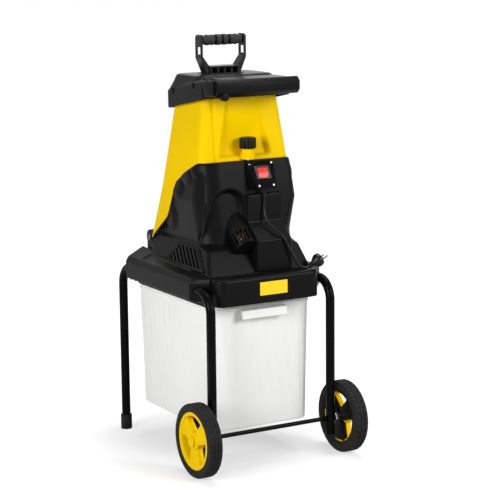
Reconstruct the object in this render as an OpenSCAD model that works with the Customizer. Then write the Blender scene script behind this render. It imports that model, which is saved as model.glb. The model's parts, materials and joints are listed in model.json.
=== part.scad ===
// Garden shredder: a tilting hopper and a disc cutter on a wheeled tube frame, over a slide-out bin.
// The front, with the wheels and the switch, faces -Y. The origin is on the ground under the middle.

/* [Wheels] */
// Outer diameter of the tyres
wheel_d = 200; // [180:2:220]
// Width of the tyres
wheel_w = 38; // [32:1:46]
// Depth of the tread grooves
tread_depth = 4; // [2:0.5:6]
// Width of one tread groove
tread_gap = 7; // [4:0.5:9]
// Number of tread blocks round a tyre
tread_count = 28; // [20:2:36]
// Diameter of the hub that carries the tyre
hub_d = 156; // [146:2:164]
// Wall of the hub's rim
hub_rim = 6; // [4:0.5:9]
// Diameter of the hub's centre boss
hub_boss_d = 34; // [28:1:44]
// Width of one hub arm
hub_arm_w = 22; // [16:1:28]

/* [Frame] */
// Outer diameter of the frame tubes
tube_d = 25; // [22:1:28]
// Wall of the frame tubes
tube_wall = 1.5; // [1:0.25:3]
// Distance between the left and right tubes
leg_span = 372; // [366:2:384]
// Distance from the front legs to the rear legs
leg_base = 522; // [516:2:560]
// Height of the tubes' level run
run_z = 487; // [460:1:520]
// Centreline radius of the tube bends
bend_r = 55; // [45:1:60]
// Length of front leg below the axle
leg_tail = 46; // [30:1:60]
// Diameter of the axle
axle_d = 12; // [10:0.5:14]
// Length of the collar between leg and wheel
collar_l = 10; // [6:0.5:14]
// Outer diameter of the axle collars
collar_d = 22; // [18:1:26]
// Height of the rubber feet
foot_h = 42; // [30:1:56]
// Wall of the rubber feet
foot_wall = 3.5; // [2:0.5:6]
// Thickness of the rubber soles
foot_sole = 6; // [4:1:10]

/* [Deck] */
// Width over the deck's side wings
deck_w = 410; // [406:2:430]
// Width of the deck's front bulge
bulge_w = 320; // [310:2:326]
// Height of the bulge's skirt
bulge_h = 73; // [70:1:84]
// Height of the wings' outer faces
wing_h = 55; // [52:1:60]
// Drop of the wing's outer edge below the deck top
wing_drop = 6; // [4:1:12]
// Wall of the deck moulding
deck_wall = 4; // [3:0.5:6]
// Corner radius of the bulge
bulge_r = 28; // [15:1:34]
// Length of the bare rating plate
plate_w = 85; // [60:1:100]
// Height of the bare rating plate
plate_h = 36; // [25:1:44]

/* [Bin] */
// Width of the bin at its rim
bin_w = 320; // [312:2:320]
// Length of the bin at its rim
bin_l = 426; // [400:2:430]
// Height of the bin
bin_h = 358; // [320:1:370]
// Taper of the bin's width and length towards its floor
bin_taper = 18; // [8:1:30]
// Wall of the bin
bin_wall = 3; // [2:0.5:5]
// Width of the rim flange
rim_w = 6; // [5:0.5:6]
// Width of the bin's grip lips
lip_w = 140; // [100:2:180]

/* [Housing] */
// Width of the motor housing at its waist
housing_w = 300; // [292:2:306]
// Wall of the motor housing
housing_wall = 4; // [3:0.5:5]
// Height of the housing's front edge above the deck
front_h = 295; // [285:1:305]
// Width of the switch-side box on the housing's front
service_w = 108; // [96:2:116]

/* [Motor] */
// Slope of the cutter disc from the level
disc_tilt = 50; // [46:1:54]
// Diameter of the cutter disc
disc_d = 190; // [170:2:196]
// Thickness of the cutter disc
disc_t = 6; // [4:0.5:8]
// Outer diameter of the motor drum
drum_d = 62; // [58:1:66]
// Length of the motor drum
drum_l = 200; // [190:1:206]
// Wall of the motor drum
drum_wall = 3; // [2:0.5:4]
// Diameter of the rotor shaft
shaft_d = 14; // [12:0.5:17]
// Number of cooling slots round the drum
slot_count = 16; // [12:1:20]

/* [Hopper] */
// Width of the hopper under the hood
hopper_top_w = 248; // [242:2:252]
// Taper of the hopper's sides from the upright, in degrees
hopper_draft = 7.5; // [7:0.25:8]
// Wall of the hopper
hopper_wall = 4; // [3:0.5:5]
// Corner chamfer of the hopper
hopper_chamfer = 14; // [10:1:18]
// Diameter of the hinge knuckles
knuckle_d = 42; // [38:1:44]
// Diameter of the hinge pins
hinge_pin_d = 10; // [8:0.5:12]

/* [Hood] */
// Overhang of the hood's skirt past the hopper's top on each side
hood_over = 10; // [8:1:14]
// Height of the hood's skirt
skirt_h = 50; // [44:1:56]
// Wall of the hood
hood_wall = 3.5; // [2.5:0.5:5]
// Height of the hood's flat top above the deck
hood_top = 525; // [520:1:535]
// Width of the feed slot
slot_w = 98; // [94:1:106]
// Depth of the feed slot, front to rear
slot_d = 56; // [50:1:62]
// Length of the pull bar with its end caps
bar_l = 252; // [240:2:264]
// Height of the pull bar
bar_h = 45; // [36:1:48]
// Depth of the pull bar
bar_d = 35; // [28:1:38]

/* [Push tool] */
// Gap all round between the push tool and the feed slot
tool_gap = 4; // [2:0.5:6]
// Length of the push tool's shank below the hood's top
shank_l = 195; // [150:5:200]
// Height of the push tool's handle above the hood's top
handle_h = 105; // [90:1:120]
// Diameter of the hand grip
grip_d = 30; // [26:1:36]
// Diameter of the bar inside the hand grip
grip_core_d = 18; // [14:1:22]
// Width of the handle over its arms
handle_w = 142; // [134:2:152]

/* [Switch] */
// Lean of the switch plate from the upright, in degrees
switch_lean = 31; // [26:1:34]
// Width of the switch plate at its top
switch_w = 88; // [80:1:96]
// Width of the switch plate at its foot
switch_foot_w = 58; // [54:1:66]
// Height of the switch plate along its slope
switch_h = 82; // [78:1:86]
// Width of the rocker
rocker_w = 30; // [24:1:32]
// Height of the rocker
rocker_h = 30; // [26:1:32]
// Angle that the rocker turns through
rocker_throw = 20; // [12:1:24]

/* [Lock] */
// Diameter of the locking knob
knob_d = 46; // [42:1:50]
// Height of the locking knob
knob_h = 31; // [28:1:36]
// Number of grip ribs round the knob
knob_ribs = 18; // [12:1:24]
// Diameter of the lock screw
screw_d = 10; // [8:0.5:11]
// Travel of the lock screw
screw_travel = 10; // [6:0.5:10]

/* [Cord] */
// Diameter of the mains cord
cord_d = 6.5; // [6:0.25:7]

/* [Hidden] */
$fn = 64;

// Clearances
fit = 0.2;
run_gap = 0.3;
bore_gap = 0.1;
cut = 1;

// Frame: the origin lies midway between the front of the tyres and the back of the feet
wheel_r = wheel_d / 2;
foot_r = tube_d / 2 + foot_wall;
mid_y = (wheel_r - foot_r) / 2;
front_y = mid_y - leg_base / 2;
rear_y = mid_y + leg_base / 2;
leg_x = leg_span / 2;
wheel_in = leg_x + tube_d / 2 + collar_l + run_gap;
wheel_out = wheel_in + wheel_w;
cap_t = 5;
cap_d = 30;

// Tower: heights are measured from the deck's top, and Y from the middle of the legs
tube_depth = 33;
deck_top = run_z + tube_depth;

// Deck plan
bulge_front = -257;
deck_rear = 205;
wing_front = -177;
wing_rear = deck_rear - 3;
wing_in = leg_x - tube_d / 2 - deck_wall;
wing_edge = deck_w / 2;
corner_y = -215;

// Bin
bin_y = 9.5;
rim_t = 3;
rim_top = -bulge_h + 1.3;
rail_t = 4;
rail_gap = 0.4;
bin_r = 25;
lip_drop = 26;
lip_out = 22;

// Seam between the housing and the hopper, rear to front, as [y, height]
seam = [[136, 68], [47, 133], [-2, front_h - 61], [-52, front_h - 29], [-110, front_h], [-140, front_h]];
seam_gap = 0.6;
housing_rear = 150;
ledge_h = 68;
housing_side = concat(
    [[-205, 0], [housing_rear, 0], [housing_rear, 52]], seam,
    [[-150, front_h - 75], [-160, 130], [-168, ledge_h]]);
waist = housing_w / 2;
foot_flare = 10;
scoop = 12;
scoop_h = 77;
wall_x = waist + foot_flare;
housing_face = [
    [-wall_x, 0], [wall_x, 0], [waist - scoop, scoop_h], [waist + 2, 190], [waist - 10, front_h + 2],
    [10 - waist, front_h + 2], [-waist - 2, 190], [scoop - waist, scoop_h]];
service_x = -14;
service_side = [
    [-215, 0], [-120, 0], [-120, front_h - 87], [-165, front_h - 87], [-165, 130], [-215, 87]];

// Motor: its own frame has +Z along the shaft, from the disc towards the hopper
motor_x = -35;
motor_y = -22;
motor_h = 211;
plate_t = 10;
plate_z = -24;
plate_w2 = 118;
ledge_w = 26;
bearing_t = 12;
bearing_d = 35;
end_t = 5;

// Hopper rings, as heights above the deck
ring_low = 60;
ring_mid = 220;
ring_top = 490;
ring_ref = 415;
hopper_front = -116;
hopper_rear = 65;
front_draft = 5.5;
rear_draft = 6.4;
flare_rear = 160;
hinge_y = 173;
hinge_h = 56;
knuckle_w = 14;
knuckle_x = hopper_top_w / 2 + 3.5;
lug_w = 13;

// Hood: its own frame leans back by the hood's slope
hood_slope = 10.2;
hood_foot = 442.8;
hood_w = hopper_top_w + 2 * hood_over;
hood_front = -152;
hood_rear = 84;
seat_w = 14;
seat_t = 4;
bar_y = -190;
bar_z = 499;
bar_cap_t = 10;

// Lock
lock_x = 7;
lock_y = -130;
boss_h = 33;
boss_d = 40;
neck_d = 33;
lug_h = 42;
insert_l = 24;
insert_d = screw_d + 3;
washer_t = 1.6;

// Switch
switch_x = 34;
switch_y = -162.5;
switch_z = front_h - 38;
switch_floor = front_h - 69;
plate_thick = 3;
bezel_w = rocker_w + 14;
bezel_h = rocker_h + 8;
bezel_t = 2;
body_depth = 24;
rocker_pivot = 6;

// Cord, in the ground frame: gland to plug, as points chosen along its hang
gland_l = 26;
gland_y = -170;
gland_d = 14;
cord_foot = 524;
cord_drop = deck_top + switch_floor - gland_l - cord_foot;
cord_route = [for (p = [
    [34, -128, 720], [34, -128, 706], [33, -129, 692], [32, -131, 678], [33, -136, 664], [37, -144, 651],
    [44, -154, 639], [53, -165, 626], [64, -175, 612], [73, -179, 594], [82, -182, 576], [92, -184, 557],
    [101, -186, 539], [108, -187, 530], [118, -188, 525], [128, -188, 524], [138, -188, 526.5]])
    [p.x, p.y, cord_foot + (p.z - cord_foot) * cord_drop / 196]];
plug_at = cord_route[len(cord_route) - 1];
plug_tilt = 25;
plug_r = 18.5;
plug_tail_r = 5.5;
plug_cone_l = 28;
plug_disc_l = 12;
pin_pitch = 19;
pin_d = 4.8;
pin_l = 19;

// Helpers
function unit(v) = v / norm(v);
function inset(p, d) = let (n = len(p)) [
    for (i = [0 : n - 1])
        let (u = unit(p[i] - p[(i + n - 1) % n]), v = unit(p[(i + 1) % n] - p[i]),
             a = [-u.y, u.x], b = [-v.y, v.x])
        p[i] + d * (a + b) / (1 + a * b)];
function arc(c, r, a0, a1, n = 8) = [
    for (i = [0 : n]) let (a = a0 + (a1 - a0) * i / n) c + r * [cos(a), sin(a)]];
function rounded(x0, x1, y0, y1, r) = concat(
    arc([x1 - r, y0 + r], r, -90, 0), arc([x1 - r, y1 - r], r, 0, 90),
    arc([x0 + r, y1 - r], r, 90, 180), arc([x0 + r, y0 + r], r, 180, 270));

module tower() { translate([0, mid_y, deck_top]) children(); }
module both_sides() { children(); mirror([1, 0, 0]) children(); }
module along_x(x0, x1) { translate([x0, 0, 0]) rotate([90, 0, 90]) linear_extrude(x1 - x0) children(); }
module along_y(y0, y1) { translate([0, y1, 0]) rotate([90, 0, 0]) linear_extrude(y1 - y0) children(); }
module x_bar(d, x0, x1) { translate([x0, 0, 0]) rotate([0, 90, 0]) cylinder(d = d, h = x1 - x0); }
module ring(d, bore, h) {
    difference() {
        cylinder(d = d, h = h);
        translate([0, 0, -cut]) cylinder(d = bore, h = h + 2 * cut);
    }
}
module on_motor() { translate([motor_x, motor_y, motor_h]) rotate([-disc_tilt, 0, 0]) children(); }
module on_hood() { translate([0, 0, hood_foot]) rotate([-hood_slope, 0, 0]) children(); }
module on_switch() { translate([switch_x, switch_y, switch_z]) rotate([90 - switch_lean, 0, 0]) children(); }
module on_lock(h) { translate([lock_x, lock_y, h]) children(); }

// Frame, wheels and feet
module bent_tube(d, over) {
    front_end = wheel_r - leg_tail - over;
    rear_end = foot_sole - over;
    bend_z = run_z - bend_r;
    translate([0, front_y, front_end]) cylinder(d = d, h = bend_z - front_end);
    translate([0, rear_y, rear_end]) cylinder(d = d, h = bend_z - rear_end);
    translate([0, front_y + bend_r, run_z]) rotate([-90, 0, 0]) cylinder(d = d, h = leg_base - 2 * bend_r);
    translate([0, front_y + bend_r, bend_z]) rotate([90, 0, 90]) rotate([0, 0, 90])
        rotate_extrude(angle = 90) translate([bend_r, 0]) circle(d = d);
    translate([0, rear_y - bend_r, bend_z]) rotate([90, 0, 90])
        rotate_extrude(angle = 90) translate([bend_r, 0]) circle(d = d);
}
module frame_tube() {
    color([0.05, 0.05, 0.06]) difference() {
        translate([leg_x, 0, 0]) bent_tube(tube_d, 0);
        translate([leg_x, 0, 0]) bent_tube(tube_d - 2 * tube_wall, cut);
        translate([leg_x - tube_d, front_y, wheel_r]) x_bar(axle_d + 2 * bore_gap, 0, 2 * tube_d);
        bolt_places() cylinder(d = bolt_d + 2 * fit, h = 2 * tube_d, center = true);
    }
}
module left_frame_tube() { mirror([1, 0, 0]) frame_tube(); }
module right_frame_tube() { frame_tube(); }

bolt_d = 6;
bolt_y = [-110, 120];
bolt_head_d = 12;
bolt_head_h = 4;
bolt_end = 6;
wing_bottom = -wing_drop - wing_h;
module bolt_places() { for (y = bolt_y) translate([leg_x, mid_y + y, run_z]) children(); }
module frame_bolts() {
    foot = wing_bottom + tube_depth;
    color([0.7, 0.7, 0.72]) both_sides() bolt_places() {
        translate([0, 0, foot]) cylinder(d = bolt_d, h = tube_d / 2 + bolt_end - foot);
        translate([0, 0, foot - bolt_head_h]) cylinder(d = bolt_head_d, h = bolt_head_h, $fn = 6);
    }
}
module rear_feet() {
    color([0.08, 0.08, 0.08]) both_sides() translate([leg_x, rear_y, 0]) difference() {
        cylinder(r = foot_r, h = foot_h);
        translate([0, 0, foot_sole]) cylinder(d = tube_d, h = foot_h);
    }
}
module on_axle() { translate([0, front_y, wheel_r]) children(); }
module axle() {
    half = wheel_out + run_gap + cap_t - 2;
    color([0.1, 0.1, 0.1]) on_axle() x_bar(axle_d, -half, half);
}
module axle_collars() {
    color([0.75, 0.75, 0.77]) on_axle() both_sides()
        translate([leg_x + tube_d / 2, 0, 0]) rotate([0, 90, 0])
            ring(collar_d, axle_d + 2 * bore_gap, collar_l);
}
module wheel_caps() {
    color([0.95, 0.78, 0.03]) on_axle() both_sides() translate([wheel_out + run_gap, 0, 0]) difference() {
        x_bar(cap_d, 0, cap_t);
        x_bar(axle_d + 2 * bore_gap, -cut, cap_t - 1.5);
    }
}

shoulder = 9;
module on_wheel() { translate([wheel_in, front_y, wheel_r]) rotate([0, 90, 0]) children(); }
module tyre() {
    r = hub_d / 2;
    pitch = 360 / tread_count;
    color([0.13, 0.13, 0.14]) on_wheel() difference() {
        rotate_extrude() polygon([
            [r, 0], [wheel_r - shoulder, 0], [wheel_r, shoulder], [wheel_r, wheel_w - shoulder],
            [wheel_r - shoulder, wheel_w], [r, wheel_w]]);
        for (i = [0 : tread_count - 1], side = [0, 1])
            rotate([0, 0, (i + side / 2) * pitch])
                translate([wheel_r - tread_depth, -tread_gap / 2, side == 0 ? -cut : wheel_w * 0.58])
                    cube([tread_depth + cut, tread_gap, wheel_w * 0.42 + cut]);
    }
}
hub_side = 4;
web_z = 16;
web_t = 5;
arm_turn = 30;
arm_h = 15;
module hub() {
    r = hub_d / 2;
    window_in = hub_boss_d / 2 + 4;
    window_out = r - hub_rim - 3;
    arm_half = asin(hub_arm_w / (window_in + window_out));
    color([0.95, 0.78, 0.03]) on_wheel() rotate([0, 0, -arm_turn]) difference() {
        union() {
            translate([0, 0, hub_side]) ring(hub_d, hub_d - 2 * hub_rim, wheel_w - 2 * hub_side);
            translate([0, 0, web_z]) cylinder(r = r - hub_rim / 2, h = web_t);
            cylinder(d = hub_boss_d, h = wheel_w);
            for (i = [0 : 2]) rotate([0, 0, i * 120 + arm_turn])
                translate([hub_boss_d / 2 - 3, -hub_arm_w / 5, web_z + 1])
                    cube([r - hub_rim / 2 - hub_boss_d / 2 + 3, hub_arm_w / 2.5, arm_h]);
        }
        translate([0, 0, -cut]) cylinder(d = axle_d + 2 * bore_gap, h = wheel_w + 2 * cut);
        for (i = [0 : 2]) rotate([0, 0, i * 120 + arm_half + arm_turn])
            rotate_extrude(angle = 120 - 2 * arm_half)
                translate([window_in, -cut]) square([window_out - window_in, wheel_w]);
    }
}
module left_tyre() { mirror([1, 0, 0]) tyre(); }
module right_tyre() { tyre(); }
module left_hub() { mirror([1, 0, 0]) hub(); }
module right_hub() { hub(); }

// Deck and bin
roof_t = deck_wall + 4;
wing_root = bulge_w / 2 - 12;
function wing_top(x) = -wing_drop * (x - wing_root) / (wing_edge - wing_root);
cavity_y0 = corner_y + deck_wall;
cavity_y1 = deck_rear - deck_wall - 6;
module wing_block() {
    intersection() {
        along_y(bulge_front, deck_rear) polygon([
            [wing_root, wing_bottom], [wing_edge, wing_bottom], [wing_edge, -wing_drop], [wing_root, 0]]);
        translate([0, 0, -bulge_h - cut]) linear_extrude(bulge_h + 2 * cut) polygon([
            [wing_root - 1, corner_y], [bulge_w / 2 + 5, corner_y], [wing_edge, wing_front],
            [wing_edge, wing_rear], [bulge_w / 2 + 5, deck_rear], [wing_root - 1, deck_rear]]);
    }
}
panel_y0 = -110;
panel_y1 = 125;
panel_w = 38;
panel_t = 2;
module wing_panel() {
    lean = atan(wing_drop / (wing_edge - wing_root));
    translate([wing_edge, 0, -wing_drop]) rotate([0, lean, 0])
        translate([-panel_w, panel_y0, -panel_t]) cube([panel_w + cut, panel_y1 - panel_y0, panel_t + cut]);
}
module base_deck() {
    half = bulge_w / 2;
    color([0.1, 0.1, 0.1]) tower() difference() {
        union() {
            translate([0, 0, -bulge_h]) linear_extrude(bulge_h)
                polygon(rounded(-half, half, bulge_front, deck_rear, bulge_r));
            both_sides() wing_block();
        }
        translate([0, 0, -bulge_h - cut]) linear_extrude(bulge_h + cut - roof_t)
            polygon(rounded(deck_wall - half, half - deck_wall, bulge_front + deck_wall,
                            deck_rear - deck_wall,
                            bulge_r - deck_wall));
        translate([-wing_in, cavity_y0, -bulge_h - cut])
            cube([2 * wing_in, cavity_y1 - cavity_y0, bulge_h + cut - roof_t]);
        translate([-wing_in, 0, -bulge_h - cut]) cube([2 * wing_in, deck_rear + cut, cut + 4]);
        both_sides() {
            wing_panel();
            translate([leg_x, bulge_front, -tube_depth]) rotate([-90, 0, 0])
                cylinder(d = tube_d + 2 * fit, h = 2 * deck_rear - bulge_front);
            translate([0, -mid_y, -deck_top]) bolt_places() translate([0, 0, -2 * tube_d])
                cylinder(d = bolt_d + 2 * fit, h = 2 * tube_d + tube_d / 2 + bolt_end);
        }
        chute_box(fit, roof_t + 2 * cut, -roof_t - cut);
        screw_places() translate([0, 0, -2 * roof_t]) cylinder(d = screw_shank + 2 * fit, h = 3 * roof_t);
    }
}
rail_y0 = cavity_y0;
rail_y1 = cavity_y1;
rail_leg = 3;
rail_grip = 15;
rim_half = bin_w / 2 + rim_w;
rail_in = bin_w / 2 + 2.5;
module bin_rails() {
    top = rim_top - rim_t - rail_gap;
    color([0.12, 0.12, 0.12]) tower() both_sides() along_y(rail_y0, rail_y1) polygon([
        [rail_in, top - rail_t], [wing_in, top - rail_t], [wing_in, wing_bottom + rail_grip],
        [wing_in - rail_leg, wing_bottom + rail_grip], [wing_in - rail_leg, top], [rail_in, top]]);
}
plate_x = 9.5;
plate_gap_h = 16;
module rating_plate() {
    color([0.95, 0.78, 0.03]) tower()
        translate([plate_x - plate_w / 2, bulge_front - 1, -plate_gap_h - plate_h])
            cube([plate_w, 1, plate_h]);
}
lip_top = rim_top - 22;
function bin_outline(d) = rounded(d - bin_w / 2, bin_w / 2 - d, bin_y - bin_l / 2 + d, bin_y + bin_l / 2 - d,
                                  bin_r - d / 3);
module bin_level(h, d) { translate([0, 0, h]) linear_extrude(0.5) polygon(bin_outline(d)); }
module grip_lip() {
    y0 = bin_y - bin_l / 2 + bin_wall / 2;
    out = y0 - lip_out;
    along_x(-lip_w / 2, lip_w / 2) polygon([
        [y0, lip_top], [out, lip_top - 3], [out - 2, lip_top - lip_drop], [out + 1, lip_top - lip_drop],
        [out + 3, lip_top - 7], [y0, lip_top - 5]]);
}
module collection_bin() {
    floor_h = rim_top - bin_h;
    color([0.93, 0.94, 0.94, 0.7]) tower() {
        difference() {
            union() {
                hull() { bin_level(rim_top - 0.5, 0); bin_level(floor_h, bin_taper / 2); }
                translate([0, 0, rim_top - rim_t]) linear_extrude(rim_t) polygon(rounded(
                    -rim_half, rim_half, bin_y - bin_l / 2 - rim_w, bin_y + bin_l / 2 + rim_w,
                    bin_r + rim_w / 2));
            }
            hull() { bin_level(rim_top, bin_wall); bin_level(floor_h + bin_wall, bin_taper / 2 + bin_wall); }
        }
        grip_lip();
        translate([0, 2 * bin_y, 0]) mirror([0, 1, 0]) grip_lip();
    }
}

// Motor housing
recess_depth = 14;
recess_in = -112;
recess_out = -140;
recess_side = service_x - 2;
recess_mid = (recess_in + recess_side) / 2;
recess_r = (recess_side - recess_in) / 2;
recess_spring = 172;
vent = [[-130, 10], [38, 10], [-24, 58], [-98, 58]];
vent_flange = 5;
vent_t = 3;
screw_shank = 4;
screw_head_d = 8;
screw_head_h = 3;
screw_boss_d = 14;
screw_boss_h = 30;
screw_x = waist + foot_flare / 2 - housing_wall - screw_boss_d / 2 + 1;
screw_spots = [[-screw_x, -150], [screw_x, -150], [-screw_x, 125], [screw_x, 125]];
module screw_places() { for (p = screw_spots) translate(p) children(); }
// Plan of the housing, grown inwards by d: square at its foot, and with round front corners above the ledge
corner_r = 55;
front_lean = atan(28 / (front_h - ledge_h));
module housing_plan(d) {
    translate([-200, -300, -1]) cube([400, 600, ledge_h + 1 - d]);
    translate([0, -169, ledge_h - d]) rotate([-front_lean, 0, 0]) translate([0, 0, -20])
        linear_extrude(front_h + 40) polygon(rounded(d - waist - 2, waist + 2 - d, d, 400, corner_r - d));
}
module housing_form(d) {
    intersection() {
        along_x(-200, 200) polygon(inset(housing_side, d));
        along_y(-300, 300) polygon(inset(housing_face, d));
        housing_plan(d);
    }
}
// Inside of the housing, open along the seam with the hopper
inner_side = let (q = inset(housing_side, housing_wall), lip = seam[4].x + housing_wall) concat(
    [[q[0].x - 3, -cut], [q[1].x, -cut], [q[1].x, seam[0].y - 11]],
    [for (i = [0 : 3]) seam[i] + [0, 2 * cut]],
    [[lip, front_h + 2 * cut], [lip, front_h - housing_wall]], [for (i = [8 : 11]) q[i]]);
module housing_inside() {
    intersection() {
        along_x(-200, 200) polygon(inner_side);
        along_y(-300, 300) polygon(inset(housing_face, housing_wall));
        housing_plan(housing_wall);
    }
}
module service_form(d) { along_x(service_x + d, service_x + service_w - d) polygon(inset(service_side, d)); }
// Arched recess on the front, grown by d on every side
module recess(d) {
    back = recess_depth + d;
    intersection() {
        along_y(-300, -100) polygon(inset(concat(
            [[recess_out, ledge_h], [recess_side, ledge_h]],
            arc([recess_mid, recess_spring], recess_r, 0, 180)), -d));
        along_x(-200, 200) polygon([
            [-300, ledge_h - d], [back - 168, ledge_h - d], [back - 160, 130], [back - 150, front_h - 75],
            [back - 145, front_h - 35], [-300, front_h - 35]]);
    }
}
module drum_way() {
    on_motor() translate([0, 0, plate_z - drum_l - 40]) cylinder(d = drum_d + 2 * run_gap, h = drum_l + 40);
}
module plate_ledges() {
    intersection() {
        housing_form(housing_wall / 2);
        on_motor() translate([-motor_x, 0, plate_z - 8]) both_sides()
            translate([plate_w2 - 8, -70, 0]) cube([ledge_w + 20, 160, 8]);
    }
}
lug_x0 = lock_x - 13;
lug_x1 = lock_x + 8.2;
lug_y1 = -112;
module lock_lug() {
    intersection() {
        housing_form(0);
        translate([lug_x0, -160, front_h - lug_h]) cube([lug_x1 - lug_x0, lug_y1 + 160, lug_h]);
    }
}
module motor_housing() {
    color([0.11, 0.11, 0.11]) tower() difference() {
        union() {
            difference() {
                union() { housing_form(0); service_form(0); }
                recess(0);
                difference() {
                    union() { housing_inside(); service_form(housing_wall); }
                    recess(housing_wall);
                }
                translate([0, 0, -cut]) linear_extrude(housing_wall + 2 * cut) polygon(rounded(
                    housing_wall + 1 - wall_x, wall_x - housing_wall - 1, housing_wall - 205,
                    housing_rear - housing_wall, 4));
            }
            plate_ledges();
            lock_lug();
            intersection() {
                housing_form(0);
                screw_places() cylinder(d = screw_boss_d, h = screw_boss_h);
            }
        }
        drum_way();
        translate([recess_side - 12, -166, ledge_h - housing_wall - cut]) cube([housing_wall + 12 + 2 * cut, 23, 16]);
        both_sides() on_vent() along_x(wall_x - 3 * housing_wall, wall_x + housing_wall) polygon(vent);
        switch_pocket(body_gap);
        plate_screw_holes();
        on_lock(front_h - 1 - insert_l) cylinder(d = insert_d, h = insert_l + 2);
        on_lock(front_h - lug_h - cut) cylinder(d = screw_d + 2 * run_gap, h = lug_h);
        screw_places() translate([0, 0, -cut]) cylinder(d = screw_shank + fit, h = screw_boss_h - 4);
    }
}
module on_vent() {
    lean = atan((foot_flare + scoop) / scoop_h);
    translate([wall_x, 0, 0]) rotate([0, -lean, 0]) translate([-wall_x, 0, 0]) children();
}
module vent_grille() {
    x1 = wall_x - housing_wall;
    slot_pitch = 20;
    color([0.1, 0.1, 0.1]) tower() on_vent() difference() {
        union() {
            along_x(x1 - vent_t, x1) polygon(inset(vent, -vent_flange));
            along_x(x1 - vent_t, wall_x - 1) polygon(inset(vent, fit));
        }
        intersection() {
            along_x(x1 - 2 * vent_t, wall_x + cut) polygon(inset(vent, 6));
            for (i = [-6 : 6]) translate([x1 - 2 * vent_t, i * slot_pitch - 40, 30]) rotate([-32, 0, 0])
                translate([0, -5, -60]) cube([20, 10, 120]);
        }
    }
}
module left_vent_grille() { mirror([1, 0, 0]) vent_grille(); }
module right_vent_grille() { vent_grille(); }
module housing_screws() {
    color([0.7, 0.7, 0.72]) tower() screw_places() {
        translate([0, 0, -roof_t]) cylinder(d = screw_shank, h = roof_t + screw_boss_h - 6);
        translate([0, 0, -roof_t - screw_head_h]) cylinder(d = screw_head_d, h = screw_head_h);
    }
}
chute_x0 = -95;
chute_x1 = 25;
chute_y0 = 10;
chute_y1 = 100;
chute_top = 80;
chute_wall = 3;
chute_flange = 8;
module chute_box(d, h, z) {
    translate([chute_x0 - d, chute_y0 - d, z])
        cube([chute_x1 - chute_x0 + 2 * d, chute_y1 - chute_y0 + 2 * d, h]);
}
module discharge_chute() {
    low = -bulge_h + 9;
    color([0.14, 0.14, 0.14]) tower() difference() {
        union() {
            chute_box(0, chute_top - low, low);
            chute_box(chute_flange, chute_wall, 0);
        }
        chute_box(-chute_wall, chute_top - low + 2 * cut, low - cut);
    }
}
module hinge_brackets() {
    x1 = knuckle_x + knuckle_w;
    color([0.1, 0.1, 0.1]) tower() both_sides() difference() {
        union() {
            along_y(hinge_y - 17, hinge_y + 17) polygon([
                [knuckle_x, 0], [x1, 0], [x1, hinge_h], [knuckle_x, hinge_h]]);
            translate([0, hinge_y, hinge_h]) x_bar(knuckle_d, knuckle_x, x1);
        }
        translate([0, hinge_y, hinge_h]) x_bar(hinge_pin_d + 2 * bore_gap, knuckle_x - cut, x1 + cut);
    }
}
pin_head_d = 18;
pin_head_t = 3;
module hinge_pins() {
    x1 = knuckle_x + knuckle_w;
    color([0.72, 0.72, 0.74]) tower() both_sides() translate([0, hinge_y, hinge_h]) {
        x_bar(hinge_pin_d, knuckle_x - lug_w - 2, x1 + 1);
        x_bar(pin_head_d, x1, x1 + pin_head_t);
    }
}
module lock_insert() {
    color([0.75, 0.62, 0.3]) tower() on_lock(front_h - 1 - insert_l)
        ring(insert_d - 2 * bore_gap, screw_d + 2 * bore_gap, insert_l);
}
interlock_h = 16;
module interlock_switch() {
    color([0.2, 0.2, 0.22]) tower() translate([lug_x0, lug_y1 - 22, front_h - lug_h - interlock_h])
        cube([lug_x1 - lug_x0 - 3, 20, interlock_h]);
}

// Motor and cutter, in the motor's frame
drum_end = plate_z - drum_l;
drum_in = drum_d - 2 * drum_wall;
bearing_boss = bearing_d + 10;
module motor_drum() {
    slot_l = 36;
    color([0.1, 0.1, 0.1]) tower() on_motor() difference() {
        union() {
            translate([0, 0, drum_end]) ring(drum_d, drum_in, drum_l);
            translate([0, 0, drum_end]) cylinder(d = drum_d, h = end_t);
            translate([0, 0, drum_end]) cylinder(d = bearing_boss, h = end_t + bearing_t);
        }
        translate([0, 0, drum_end + end_t]) cylinder(d = bearing_d, h = drum_l);
        for (i = [0 : slot_count - 1]) rotate([0, 0, i * 360 / slot_count])
            translate([drum_in / 2 - cut, -3, drum_end + end_t + 4]) cube([drum_wall + 2 * cut, 6, slot_l]);
    }
}
module bearing_plate() {
    boss_z = plate_z - bearing_t;
    color([0.6, 0.6, 0.62]) tower() on_motor() difference() {
        union() {
            translate([-motor_x - plate_w2, -100, plate_z]) cube([2 * plate_w2, 200, plate_t]);
            translate([0, 0, boss_z]) cylinder(d = bearing_boss, h = bearing_t + plate_t);
        }
        translate([0, 0, boss_z - cut]) cylinder(d = bearing_d, h = bearing_t + cut);
        translate([0, 0, boss_z]) cylinder(d = shaft_d + 6, h = bearing_t + plate_t + cut);
    }
}
module upper_bearing() {
    color([0.75, 0.75, 0.78]) tower() on_motor() translate([0, 0, plate_z - bearing_t])
        ring(bearing_d, shaft_d + bore_gap, bearing_t);
}
module lower_bearing() {
    color([0.75, 0.75, 0.78]) tower() on_motor() translate([0, 0, drum_end + end_t])
        ring(bearing_d, shaft_d + bore_gap, bearing_t);
}
core_d = 36;
core_l = 76;
core_z = -148;
module motor_stator() {
    color([0.55, 0.35, 0.2]) tower() on_motor() translate([0, 0, core_z - 2])
        ring(drum_in - 2 * fit, core_d + 2, core_l + 4);
}
com_d = 28;
com_z = -190;
com_l = 24;
module brush_holders() {
    r0 = com_d / 2 + run_gap;
    r1 = drum_in / 2 - 0.6;
    color([0.7, 0.55, 0.25]) tower() on_motor() both_sides()
        translate([r0, -5, com_z + 6]) cube([r1 - r0, 10, 12]);
}
shaft_over = 16;
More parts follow.
